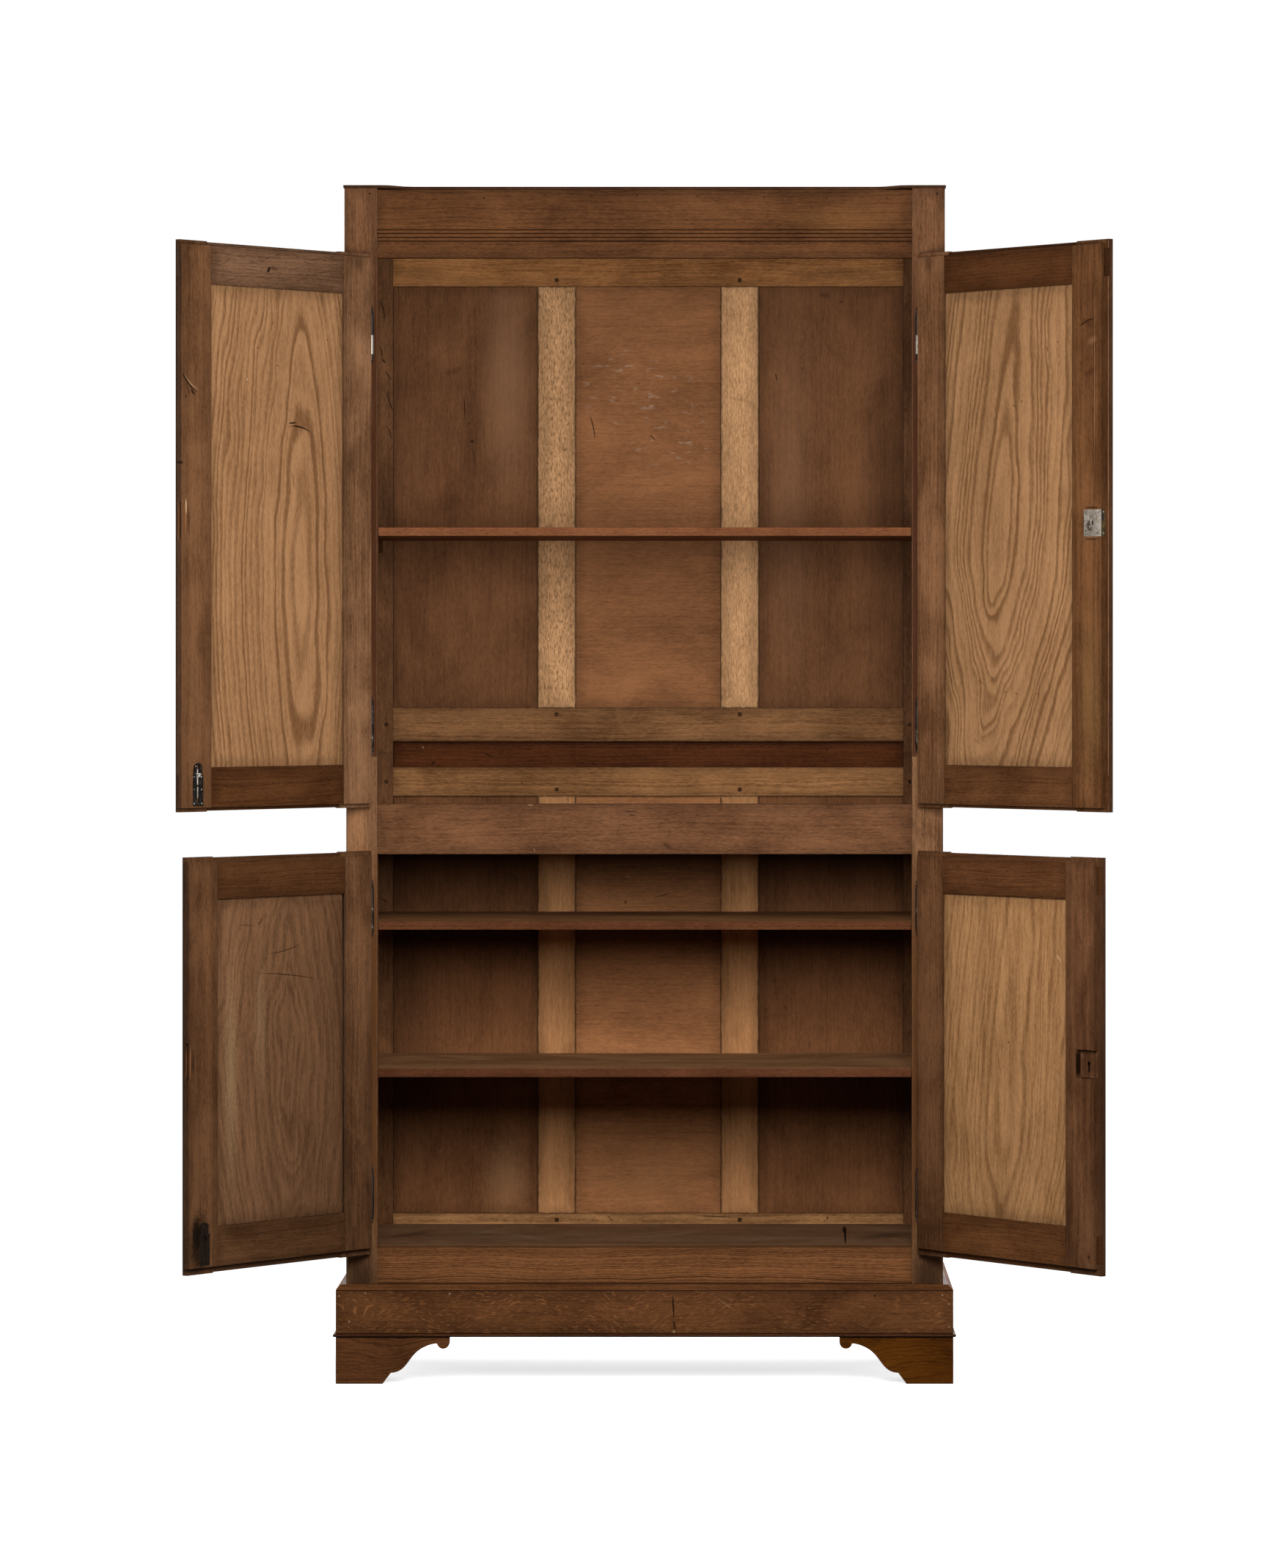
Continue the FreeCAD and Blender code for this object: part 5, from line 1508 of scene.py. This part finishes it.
@dataclass(frozen=True)
class Metal:
    """The look of one old metal: its skin, where it is rubbed bright, and its rust."""

    skin: str = "231d19"
    worn: str = "8d877c"
    rust: str = "4a2814"
    rubbed: float = 0.30       # share that is rubbed bright
    rusted: float = 0.30       # share that is rusty
    rough: float = 0.42
    metallic: float = 0.85
    bump: float = 0.45
    sheen: float = 0.5         # how much a dull place reflects

    def build(self, name: str, bright: Sequence[tuple[float, float]] = (),
              dark: Sequence[Mark] = (), leaf: Optional[Leaf] = None) -> bpy.types.Material:
        """Make the metal.

        Args:
            name: The material's name.
            bright: Heights between which it is worn almost white.
            dark: Dark spots, by their place along the door and their height.
            leaf: The door that the spots lie on.

        Returns:
            The material.
        """
        finish = Finish(name)
        vector = finish.object_place()
        broad = finish.noise(finish.stretch(vector, (85.0, 85.0, 60.0)), 3.0, 0.6)
        fine = finish.noise(finish.stretch(vector, (620.0, 620.0, 260.0)), 3.0, 0.65)
        other = finish.noise(finish.stretch(vector, (190.0, 150.0, 190.0)), 4.0, 0.7, 0.6)
        middle = 0.62 - 0.24 * self.rubbed
        rubbed = finish.span(broad * 0.55 + fine * 0.45, middle - 0.05, middle + 0.07)
        colour = finish.mix(rubbed, self.skin, self.worn)
        height = finish.split(vector)[2]
        for low, high in bright:
            here = finish.span(height, low - 0.0006, low + 0.0006) * finish.span(height,
                                                                                 high + 0.0006,
                                                                                 high - 0.0006)
            colour = finish.mix(here * (fine * 0.7 + 0.40), colour, "aaa499")
        edge = 0.66 - 0.26 * self.rusted
        rust = finish.span(other, edge - 0.04, edge + 0.06)
        colour = finish.mix(rust, colour, finish.mix(fine, self.rust, "1a100a"))
        if dark and leaf is not None:
            u, _, z = finish.split(leaf.place(finish, vector))
            colour = Board(Timber(), marks=dark).draw(Place(finish, u, 0.0, z), colour)
        rough = self.rough + fine * 0.25 + rust * 0.30 - rubbed * 0.12
        metallic = self.metallic - rust * 0.75 * self.metallic
        return finish.close(colour, rough, fine * 0.6 + other * 0.4, self.bump, 0.0003,
                            Metallic=metallic, Specular_IOR_Level=self.sheen)


IRON = Metal(worn="5f584d", rubbed=0.12, metallic=0.6)
BRIGHT_IRON = Metal(rubbed=0.18, rusted=0.15, rough=0.34)
DARK_IRON = Metal(skin="171310", worn="5d564c", rust="2c1c12", rubbed=0.05, rusted=0.3, rough=0.46)
RUSTY_IRON = Metal(skin="160e08", worn="35261b", rust="26160c", rubbed=0.15, rusted=0.5, rough=0.80,
                   metallic=0.05, sheen=0.12)
STEEL = Metal(skin="8f8578", worn="b9b2a6", rust="6f5640", rubbed=0.5, rusted=0.22, rough=0.40,
              metallic=0.7)
ROD = Metal(skin="77726a", worn="c9c4b9", rust="3e2f22", rubbed=0.6, rusted=0.15, rough=0.30,
            metallic=0.9)
BRASS = Metal(skin="4d4128", worn="75643d", rust="2e2414", rubbed=0.35, rusted=0.35, rough=0.45,
              metallic=0.7)
DULL = Metal(skin="15110d", worn="3c362c", rust="20160e", rubbed=0.1, rusted=0.3, rough=0.6,
             metallic=0.5)


# -------------------- modelling

def select_only(obj: bpy.types.Object) -> None:
    """Leave one object selected and active."""
    deselect()
    obj.select_set(True)
    bpy.context.view_layer.objects.active = obj


def edit(obj: bpy.types.Object) -> None:
    """Open an object for editing with all of it selected.

    Args:
        obj: The object.
    """
    select_only(obj)
    bpy.ops.object.mode_set(mode="EDIT")
    bpy.ops.mesh.select_mode(type="FACE")
    bpy.ops.mesh.select_all(action="SELECT")


def edit_faces(obj: bpy.types.Object, wanted: Callable[[Vector, Vector], bool]) -> None:
    """Open an object for editing with some of its faces selected.

    Args:
        obj: The object.
        wanted: Says from a face's middle and normal whether it is taken.
    """
    edit(obj)
    bpy.ops.mesh.select_all(action="DESELECT")
    bpy.ops.object.mode_set(mode="OBJECT")
    for face in obj.data.polygons:
        face.select = wanted(face.center, face.normal)
    bpy.ops.object.mode_set(mode="EDIT")


def tidy(obj: bpy.types.Object) -> bpy.types.Object:
    """Merge what is doubled, turn the faces outwards and smooth the round parts.

    Args:
        obj: The object.

    Returns:
        The same object.
    """
    edit(obj)
    bpy.ops.mesh.remove_doubles(threshold=0.000002)
    bpy.ops.mesh.normals_make_consistent(inside=False)
    bpy.ops.object.mode_set(mode="OBJECT")
    bpy.ops.object.shade_smooth_by_angle(angle=math.radians(SHARP))
    return obj


def turned(name: str, profile: Sequence[tuple[float, float]], sides: int = 28) -> bpy.types.Object:
    """Model a turned piece: a disc that is drawn out and resized step by step.

    Args:
        name: The piece's name.
        profile: Radius and height of each ring, from one end to the other.
        sides: Sides of the circle.

    Returns:
        The piece, upright on the origin.
    """
    deselect()
    radius, height = profile[0]
    bpy.ops.mesh.primitive_circle_add(vertices=sides, radius=radius, fill_type="NGON",
                                      location=(0.0, 0.0, 0.0))
    obj = bpy.context.object
    obj.name = name
    edit(obj)
    bpy.ops.transform.translate(value=(0.0, 0.0, height))
    for wide, high in profile[1:]:
        bpy.ops.mesh.extrude_region_move(TRANSFORM_OT_translate={"value": (0.0, 0.0,
                                                                           high - height)})
        share = wide / radius
        bpy.ops.transform.resize(value=(share, share, 1.0), center_override=(0.0, 0.0, high))
        radius, height = wide, high
    return tidy(obj)


def block(name: str, low: Sequence[float], high: Sequence[float], ease: float) -> bpy.types.Object:
    """Model a block with eased edges.

    Args:
        name: The piece's name.
        low: Its lowest corner.
        high: Its highest corner.
        ease: Width of the eased edges.

    Returns:
        The piece.
    """
    deselect()
    middle = [(a + b) / 2 for a, b in zip(low, high)]
    bpy.ops.mesh.primitive_cube_add(size=1.0, location=middle)
    obj = bpy.context.object
    obj.name = name
    obj.scale = [b - a for a, b in zip(low, high)]
    apply_place(obj)
    if ease:
        edit(obj)
        bpy.ops.mesh.bevel(offset=ease, segments=2, affect="EDGES")
    return tidy(obj)


def apply_place(obj: bpy.types.Object) -> None:
    """Move an object's place, turn and size into its mesh."""
    select_only(obj)
    bpy.ops.object.transform_apply(location=True, rotation=True, scale=True)


def copied(obj: bpy.types.Object, name: str, place: Matrix) -> bpy.types.Object:
    """Copy a piece with its own mesh and put the copy in place.

    Args:
        obj: The piece.
        name: The copy's name.
        place: Where it goes.

    Returns:
        The copy.
    """
    made = obj.copy()
    made.data = obj.data.copy()
    made.name = name
    bpy.context.scene.collection.objects.link(made)
    made.matrix_world = place
    apply_place(made)
    return tidy(made)


def joined(name: str, pieces: Sequence[bpy.types.Object]) -> bpy.types.Object:
    """Join pieces into one object.

    Args:
        name: The object's name.
        pieces: What is joined; the first one is kept.

    Returns:
        The joined object.
    """
    deselect()
    for piece in pieces:
        piece.select_set(True)
    bpy.context.view_layer.objects.active = pieces[0]
    bpy.ops.object.join()
    pieces[0].name = name
    return pieces[0]


def merged_copy(node: bpy.types.Object, name: str) -> bpy.types.Object:
    """Copy a node's shape as a closed mesh with flat faces.

    Args:
        node: The node.
        name: The copy's name.

    Returns:
        The copy.
    """
    made = node.copy()
    made.data = node.data.copy()
    made.name = name
    made.parent = None
    made.matrix_world = Matrix.Identity(4)
    made.modifiers.clear()
    bpy.context.scene.collection.objects.link(made)
    edit(made)
    bpy.ops.mesh.remove_doubles(threshold=WELD)
    bpy.ops.mesh.dissolve_limited(angle_limit=math.radians(COPLANAR))
    bpy.ops.mesh.normals_make_consistent(inside=False)
    bpy.ops.object.mode_set(mode="OBJECT")
    return made


def combine(obj: bpy.types.Object, tool: bpy.types.Object, how: str) -> None:
    """Cut one piece's shape out of another or add it, and delete the tool.

    Args:
        obj: The piece that stays.
        tool: The piece that is used up.
        how: DIFFERENCE or UNION.
    """
    select_only(obj)
    cut = obj.modifiers.new("combine", "BOOLEAN")
    cut.operation = how
    cut.solver = "EXACT"
    cut.object = tool
    bpy.ops.object.modifier_apply(modifier=cut.name)
    bpy.data.objects.remove(tool, do_unlink=True)


def eased(obj: bpy.types.Object, width: float) -> bpy.types.Object:
    """Ease the sharp edges of a finished piece.

    Args:
        obj: The piece.
        width: Width of the eased edge.

    Returns:
        The same piece.
    """
    select_only(obj)
    bevel = obj.modifiers.new("ease", "BEVEL")
    bevel.width = width
    bevel.segments = 2
    bevel.limit_method = "ANGLE"
    bevel.angle_limit = math.radians(FITTING_SHARP)
    bpy.ops.object.modifier_apply(modifier=bevel.name)
    return tidy(obj)


def paint_metal(obj: bpy.types.Object, material: bpy.types.Material) -> None:
    """Give a piece its metal."""
    obj.data.materials.clear()
    obj.data.materials.append(material)


# -------------------- fittings

@dataclass
class Hinges:
    """The pin hinges: eight turned halves on the case and eight on the doors."""

    radius: float = 0.0047
    barrel: float = 0.034
    gap: float = 0.0002
    finial: float = 0.018
    pin_radius: float = 0.0025
    pin: float = 0.026
    leaf_width: float = 0.026
    leaf_half: float = 0.001
    levels: Mapping[str, tuple[float, float]] = field(default_factory=lambda: {
        "upper": (1.165, 1.856), "lower": (0.334, 0.841)})
    turning: Sequence[tuple[float, float]] = ((0.0, 1.0), (0.02, 0.93), (0.04, 1.0), (0.10, 1.0),
                                              (0.13, 0.93), (0.19, 0.66), (0.225, 0.66),
                                              (0.25, 0.88), (0.29, 0.99), (0.34, 0.99),
                                              (0.38, 0.86), (0.43, 0.56), (0.47, 0.55),
                                              (0.53, 0.69), (0.60, 0.79), (0.66, 0.78),
                                              (0.76, 0.63), (0.86, 0.46), (0.94, 0.26),
                                              (0.99, 0.08))

    def barrel_rings(self, start: float, end: float) -> list[tuple[float, float]]:
        """Draw one barrel from its joint to its finial, with an eased edge and two scored lines.

        Args:
            start: Height of the joint.
            end: Height where the finial starts.

        Returns:
            Radius and height of each ring.
        """
        way = 1.0 if end > start else -1.0
        rows = [(self.radius - 0.0004, start), (self.radius, start + way * 0.0005)]
        for place in (0.0035, 0.0290):
            rows += [(self.radius, start + way * place),
                     (self.radius - 0.0004, start + way * (place + 0.0003)),
                     (self.radius, start + way * (place + 0.0006))]
        return rows + [(share * self.radius, end + way * step * self.finial) for step,
                       share in self.turning]

    def case_half(self) -> bpy.types.Object:
        """Model the lower half: pin, barrel, finial and the leaf that enters the post.

        Returns:
            The half, with its joint at height 0.
        """
        rows = [(self.pin_radius - 0.0004, self.pin - 0.001),
                (self.pin_radius - 0.0001, self.pin - 0.0016), (self.pin_radius - 0.0001, 0.0)]
        round_part = turned("case_half", rows + self.barrel_rings(0.0, -self.barrel))
        leaf = block("leaf", (-self.leaf_half, 0.0030, -self.barrel),
                     (self.leaf_half, self.leaf_width, 0.0), 0.0003)
        return joined("case_half", (round_part, leaf))

    def door_half(self) -> bpy.types.Object:
        """Model the upper half: bored barrel, finial and the leaf that enters the door.

        Returns:
            The half, with its joint at height 0.
        """
        bore = self.pin_radius + 0.00005
        rows = [(bore, self.pin + 0.00005), (bore, self.gap)]
        round_part = turned("door_half", rows + self.barrel_rings(self.gap, self.barrel))
        leaf = block("leaf", (0.0033, -self.leaf_half, self.gap),
                     (self.leaf_width, self.leaf_half, self.barrel), 0.0003)
        return joined("door_half", (round_part, leaf))

    def build(self) -> None:
        """Put all sixteen halves in place."""
        case_half, door_half = self.case_half(), self.door_half()
        halves = []
        for stage, heights in self.levels.items():
            for side in (-1.0, 1.0):
                halves += [copied(case_half, f"case_half_{stage}",
                                  Matrix.Translation((side * PIN_X, PIN_Y, z))) for z in heights]
        case = joined("case_hinge_halves", halves)
        bright = [(self.levels["upper"][1] - self.barrel + 0.0006, self.levels["upper"][1])]
        paint_metal(case, BRIGHT_IRON.build("hinge_iron_case", bright=bright))
        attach(case, "case")
        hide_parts("case_hinges")
        for leaf in LEAVES:
            heights = self.levels[leaf.stage]
            name = leaf.name
            halves = [copied(door_half, f"{name}_half",
                             leaf.frame() @ Matrix.Translation((0.0, 0.0, z))) for z in heights]
            made = joined(f"{name}_hinge_halves", halves)
            paint_metal(made, IRON.build(f"hinge_iron_{name}"))
            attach(made, name)
            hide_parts(f"{name}_hinges")
            log.info("hinges of %s", name)
        for spare in (case_half, door_half):
            bpy.data.objects.remove(spare, do_unlink=True)


@dataclass
class Screws:
    """Slotted screws with countersunk heads."""

    radius: float = 0.0022
    slot_half: float = 0.00042
    slot_deep: float = 0.0007

    def build(self) -> bpy.types.Object:
        """Model one screw head with its face near height 0 and its slot along X.

        Returns:
            The head.
        """
        r = self.radius
        obj = turned("screw", [(r * 0.55, -0.0016), (r * 0.96, -0.0003), (r, -0.0001),
                               (r * 0.97, 0.00008), (r * 0.86, 0.00022)], 20)
        for side in (-1.0, 1.0):
            edit_faces(obj, lambda middle, normal: normal.z > 0.95)
            bpy.ops.mesh.bisect(plane_co=(0.0, side * self.slot_half, 0.0),
                                plane_no=(0.0, 1.0, 0.0))
            bpy.ops.object.mode_set(mode="OBJECT")
        edit_faces(obj, lambda middle, normal: normal.z > 0.95 and abs(middle.y) < self.slot_half
                   * 0.6)
        bpy.ops.mesh.extrude_region_move(TRANSFORM_OT_translate={"value": (0.0, 0.0,
                                                                           -self.slot_deep)})
        bpy.ops.object.mode_set(mode="OBJECT")
        return tidy(obj)

    def drive(self, leaf: Leaf, places: Sequence[tuple[float, float, float]], depth: float,
              pattern: bpy.types.Object, out: bool = False) -> list[bpy.types.Object]:
        """Drive screws into a door's inner face, or into its free edge.

        Args:
            leaf: The door.
            places: Distance from the pin (or behind it), height and the slot's turn in degrees.
            depth: Where the face lies behind the pin (or from it).
            pattern: The screw.
            out: Whether they go into the free edge.

        Returns:
            The screws.
        """
        made = []
        for number, (place, height, turn) in enumerate(places):
            spin = Matrix.Rotation(math.radians(turn), 4, "Z")
            if out:
                local = Matrix.Translation((depth, place, height)) @ OUTWARDS @ spin
            else:
                local = Matrix.Translation((place, depth, height)) @ INWARDS @ spin
            made.append(copied(pattern, f"screw_{number}", leaf.frame() @ local))
        return made


@dataclass
class Lock:
    """The lock of the upper right door: its case, keyhole, edge plate, bolt and screws."""

    inner: float = 0.44025
    edge: float = 0.48325
    low: float = 1.4917
    high: float = 1.5377
    face: float = 0.0160
    key: tuple[float, float] = (0.46125, 1.5147)
    key_size: tuple[float, float] = (0.0042, 0.0084)
    screw_in: float = 0.0055

    def build(self, frame: dict, screw: bpy.types.Object, small: bpy.types.Object) -> None:
        """Cut the keyhole, dress the lock and its bolt, and drive the screws.

        Args:
            frame: The loaded frame.
            screw: The screw to copy on the case.
            small: The screw to copy on the edge plate.
        """
        leaf = RIGHT_UPPER
        case = merged_copy(frame["nodes"]["lock_case"], "lock_with_keyhole")
        tool = turned("key_tool", [(0.001, -0.0020), (0.001, 0.0060)], 32)
        place = Matrix.Translation((self.key[0], self.face, self.key[1])) @ INWARDS
        width, height = self.key_size
        tool.matrix_world = leaf.frame() @ place @ Matrix.Diagonal((width / 0.002, height / 0.002,
                                                                    1.0, 1.0))
        apply_place(tool)
        tidy(tool)
        combine(case, tool, "DIFFERENCE")
        eased(case, 0.0004)
        spots = [(u, z) for z in (self.low + self.screw_in, self.high - self.screw_in)
                 for u in (self.inner + self.screw_in, self.edge - self.screw_in - 0.001)]
        dark = [Mark(u, z, 0.0062, 0.0062, "0c0806", strength=0.9, soft=0.22) for u, z in spots]
        dark += [Mark(0.4520, 1.5120, 0.0130, 0.0200, "2a170c", strength=0.85, soft=0.5,
                      ragged=1.3), Mark(0.4580, 1.5040, 0.0120, 0.0080, "3a2212", strength=0.7,
                                        soft=0.6, ragged=1.2), Mark(0.4470, 1.5010, 0.0060, 0.0060,
                                                                    "33200f", strength=0.7,
                                                                    soft=0.6, ragged=1.0),
                 Mark(0.4700, 1.5290, 0.0009, 0.0130, "140a05", strength=0.9, soft=0.4,
                      angle=-40.0), Mark(self.key[0], self.key[1], width + 0.0020, height + 0.0024,
                                         "1a100a", strength=0.8, soft=0.4)]
        steel = STEEL.build("lock_steel_worn", dark=dark, leaf=leaf)
        paint_metal(case, steel)
        brass = BRASS.build("lock_brass_worn")
        case.data.materials.append(brass)
        for part in case.data.polygons:
            if leaf.flat(part.center).x > self.edge - 0.0007:
                part.material_index = 1
        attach(case, "upper_right_door")
        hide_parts("lock_case")
        bolt = eased(merged_copy(frame["nodes"]["lock_bolt"], "lock_bolt_eased"), 0.0005)
        paint_metal(bolt, DULL.build("lock_bolt_dull"))
        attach(bolt, "lock_bolt")
        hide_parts("lock_bolt")
        heads = Screws().drive(leaf, [(u, z, turn) for (u, z),
                                      turn in zip(spots, (20.0, 75.0, -35.0, 50.0))], self.face,
                               screw)
        middle = self.face - 0.0060
        heads += Screws().drive(leaf, [(middle, self.low + 0.0050, 10.0),
                                       (middle, self.high - 0.0040, 60.0)], self.edge, small,
                                out=True)
        made = joined("lock_screws", heads)
        paint_metal(made, STEEL.build("lock_screw_steel"))
        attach(made, "upper_right_door")
        log.info("lock")


@dataclass
class FlushBolts:
    """The left doors' flush bolts: plates with a round head and a slot, rods, guides, screws."""

    axis: float = 0.44325
    back: float = 0.0140
    face: float = 0.0160
    half: float = 0.0125
    head: float = 0.0092
    shoulder: float = 0.0540     # where the narrow head starts
    rise: float = 0.0648         # where its round end is centred
    slot_half: float = 0.0023
    ridge_half: float = 0.0016
    lows: Mapping[str, float] = field(default_factory=lambda: {"upper": 1.0302, "lower": 0.2445})

    def plate(self, name: str, low: float, place: Matrix) -> bpy.types.Object:
        """Model one plate with its slot, its finger window and its two guides.

        Args:
            name: The plate's name.
            low: Height of its lower edge.
            place: The open door's place.

        Returns:
            The plate.
        """
        plate = block(name, (self.axis - self.half, self.back, low),
                      (self.axis + self.half, self.face, low + self.shoulder), 0.0)
        neck = block("neck", (self.axis - self.head, self.back, low + self.shoulder - 0.002),
                     (self.axis + self.head, self.face, low + self.rise), 0.0)
        end = turned("end", [(self.head, self.back), (self.head, self.face)], 40)
        end.matrix_world = Matrix.Translation((self.axis, 0.0, low + self.rise)) @ INWARDS
        apply_place(end)
        tidy(end)
        for piece in (neck, end):
            combine(plate, piece, "UNION")
        for half, start, stop in ((self.slot_half, 0.0035, 0.0700), (0.0040, 0.0391, 0.0569)):
            combine(plate, block("window", (self.axis - half, self.back - 0.003, low + start),
                                 (self.axis + half, self.face + 0.003, low + stop), 0.0),
                    "DIFFERENCE")
        eased(plate, 0.0003)
        guides = [block("guide", (self.axis - 0.0044, self.face - 0.0002, low + up),
                        (self.axis + 0.0044, self.face + 0.0011, low + up + 0.0034), 0.0005)
                  for up in (0.0058, 0.0330)]
        made = joined(name, [plate] + guides)
        return self.put(made, place)

    def build(self, frame: dict, screw: bpy.types.Object) -> None:
        """Model both bolts.

        Args:
            frame: The loaded frame.
            screw: The screw to copy.
        """
        for stage, low in self.lows.items():
            leaf = LEFT_UPPER if stage == "upper" else LEFT_LOWER
            place = leaf.frame()
            made = self.plate(f"{stage}_bolt_plate_slotted", low, place)
            spots = [(self.axis + side * 0.0090, low + up) for up in (0.0045, 0.0285, 0.0500)
                     for side in (-1.0, 1.0)] + [(self.axis + 0.0045, low + 0.0685)]
            dark = [Mark(u, z, 0.0046, 0.0046, "040302", strength=0.9, soft=0.3) for u, z in spots]
            iron, metal = (DARK_IRON, ROD) if leaf.upper else (RUSTY_IRON, RUSTY_IRON)
            paint_metal(made, iron.build(f"bolt_iron_{stage}", dark=dark, leaf=leaf))
            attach(made, f"{stage}_left_door")
            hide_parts(f"{stage}_bolt_plate")
            rod = merged_copy(frame["nodes"][f"{stage}_bolt_rod"], f"{stage}_bolt_rod_dressed")
            tidy(rod)
            ridge = self.put(block("ridge", (self.axis - self.ridge_half, 0.0104, low + 0.0140),
                                   (self.axis + self.ridge_half, self.face - 0.0003, low + 0.0640),
                                   0.0006), place)
            made = joined(f"{stage}_bolt_rod_dressed", [rod, ridge])
            paint_metal(made, metal.build(f"bolt_steel_{stage}"))
            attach(made, f"{stage}_flush_bolt")
            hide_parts(f"{stage}_bolt_rod")
            turns = (15.0, 70.0, -20.0, 40.0, 85.0, -60.0, 30.0)
            heads = Screws().drive(leaf, [(u, z, turn) for (u, z), turn in zip(spots, turns)],
                                   self.face, screw)
            heads = joined(f"{stage}_bolt_screws", heads)
            paint_metal(heads, metal.build(f"bolt_screw_{stage}"))
            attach(heads, f"{stage}_left_door")
            log.info("%s flush bolt", stage)

    def put(self, obj: bpy.types.Object, place: Matrix) -> bpy.types.Object:
        """Move a piece from the flat door to the open one."""
        obj.matrix_world = place
        apply_place(obj)
        return tidy(obj)


@dataclass
class Fittings:
    """All ironwork of the press."""

    def build(self, frame: dict) -> None:
        """Model every fitting.

        Args:
            frame: The loaded frame.
        """
        Hinges().build()
        screw = Screws().build()
        small = Screws(radius=0.0015, slot_half=0.00032, slot_deep=0.0005).build()
        Lock().build(frame, screw, small)
        FlushBolts().build(frame, small)
        for spare in (screw, small):
            bpy.data.objects.remove(spare, do_unlink=True)


def soften(obj: bpy.types.Object, width: float) -> None:
    """Ease the arrises of a board, so that they catch the light.

    Args:
        obj: The board.
        width: Width of the eased arris.
    """
    weld = obj.modifiers.new("weld", "WELD")
    weld.merge_threshold = WELD
    flat = obj.modifiers.new("flat", "DECIMATE")
    flat.decimate_type = "DISSOLVE"
    flat.angle_limit = math.radians(COPLANAR)
    bevel = obj.modifiers.new("arris", "BEVEL")
    bevel.width = width
    bevel.segments = 2
    bevel.limit_method = "ANGLE"
    bevel.angle_limit = math.radians(SHARP)
    bevel.use_clamp_overlap = True


def main() -> None:
    """Dress the press, piece by piece, and set up the studio."""
    logging.basicConfig(level=logging.INFO, format="%(name)s: %(message)s")
    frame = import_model()
    deselect()
    boards = Carcase().boards()
    boards.update(Doors().boards())
    for number, (name, board) in enumerate(boards.items()):
        node = frame["nodes"][name]
        board.dress(node, SEED_STEP * (number + 1))
        if name not in ABUTTING:
            soften(node, ARRIS)
        log.info("board %s", name)
    Fittings().build(frame)
    Studio().build()


if __name__ == "__main__":
    main()
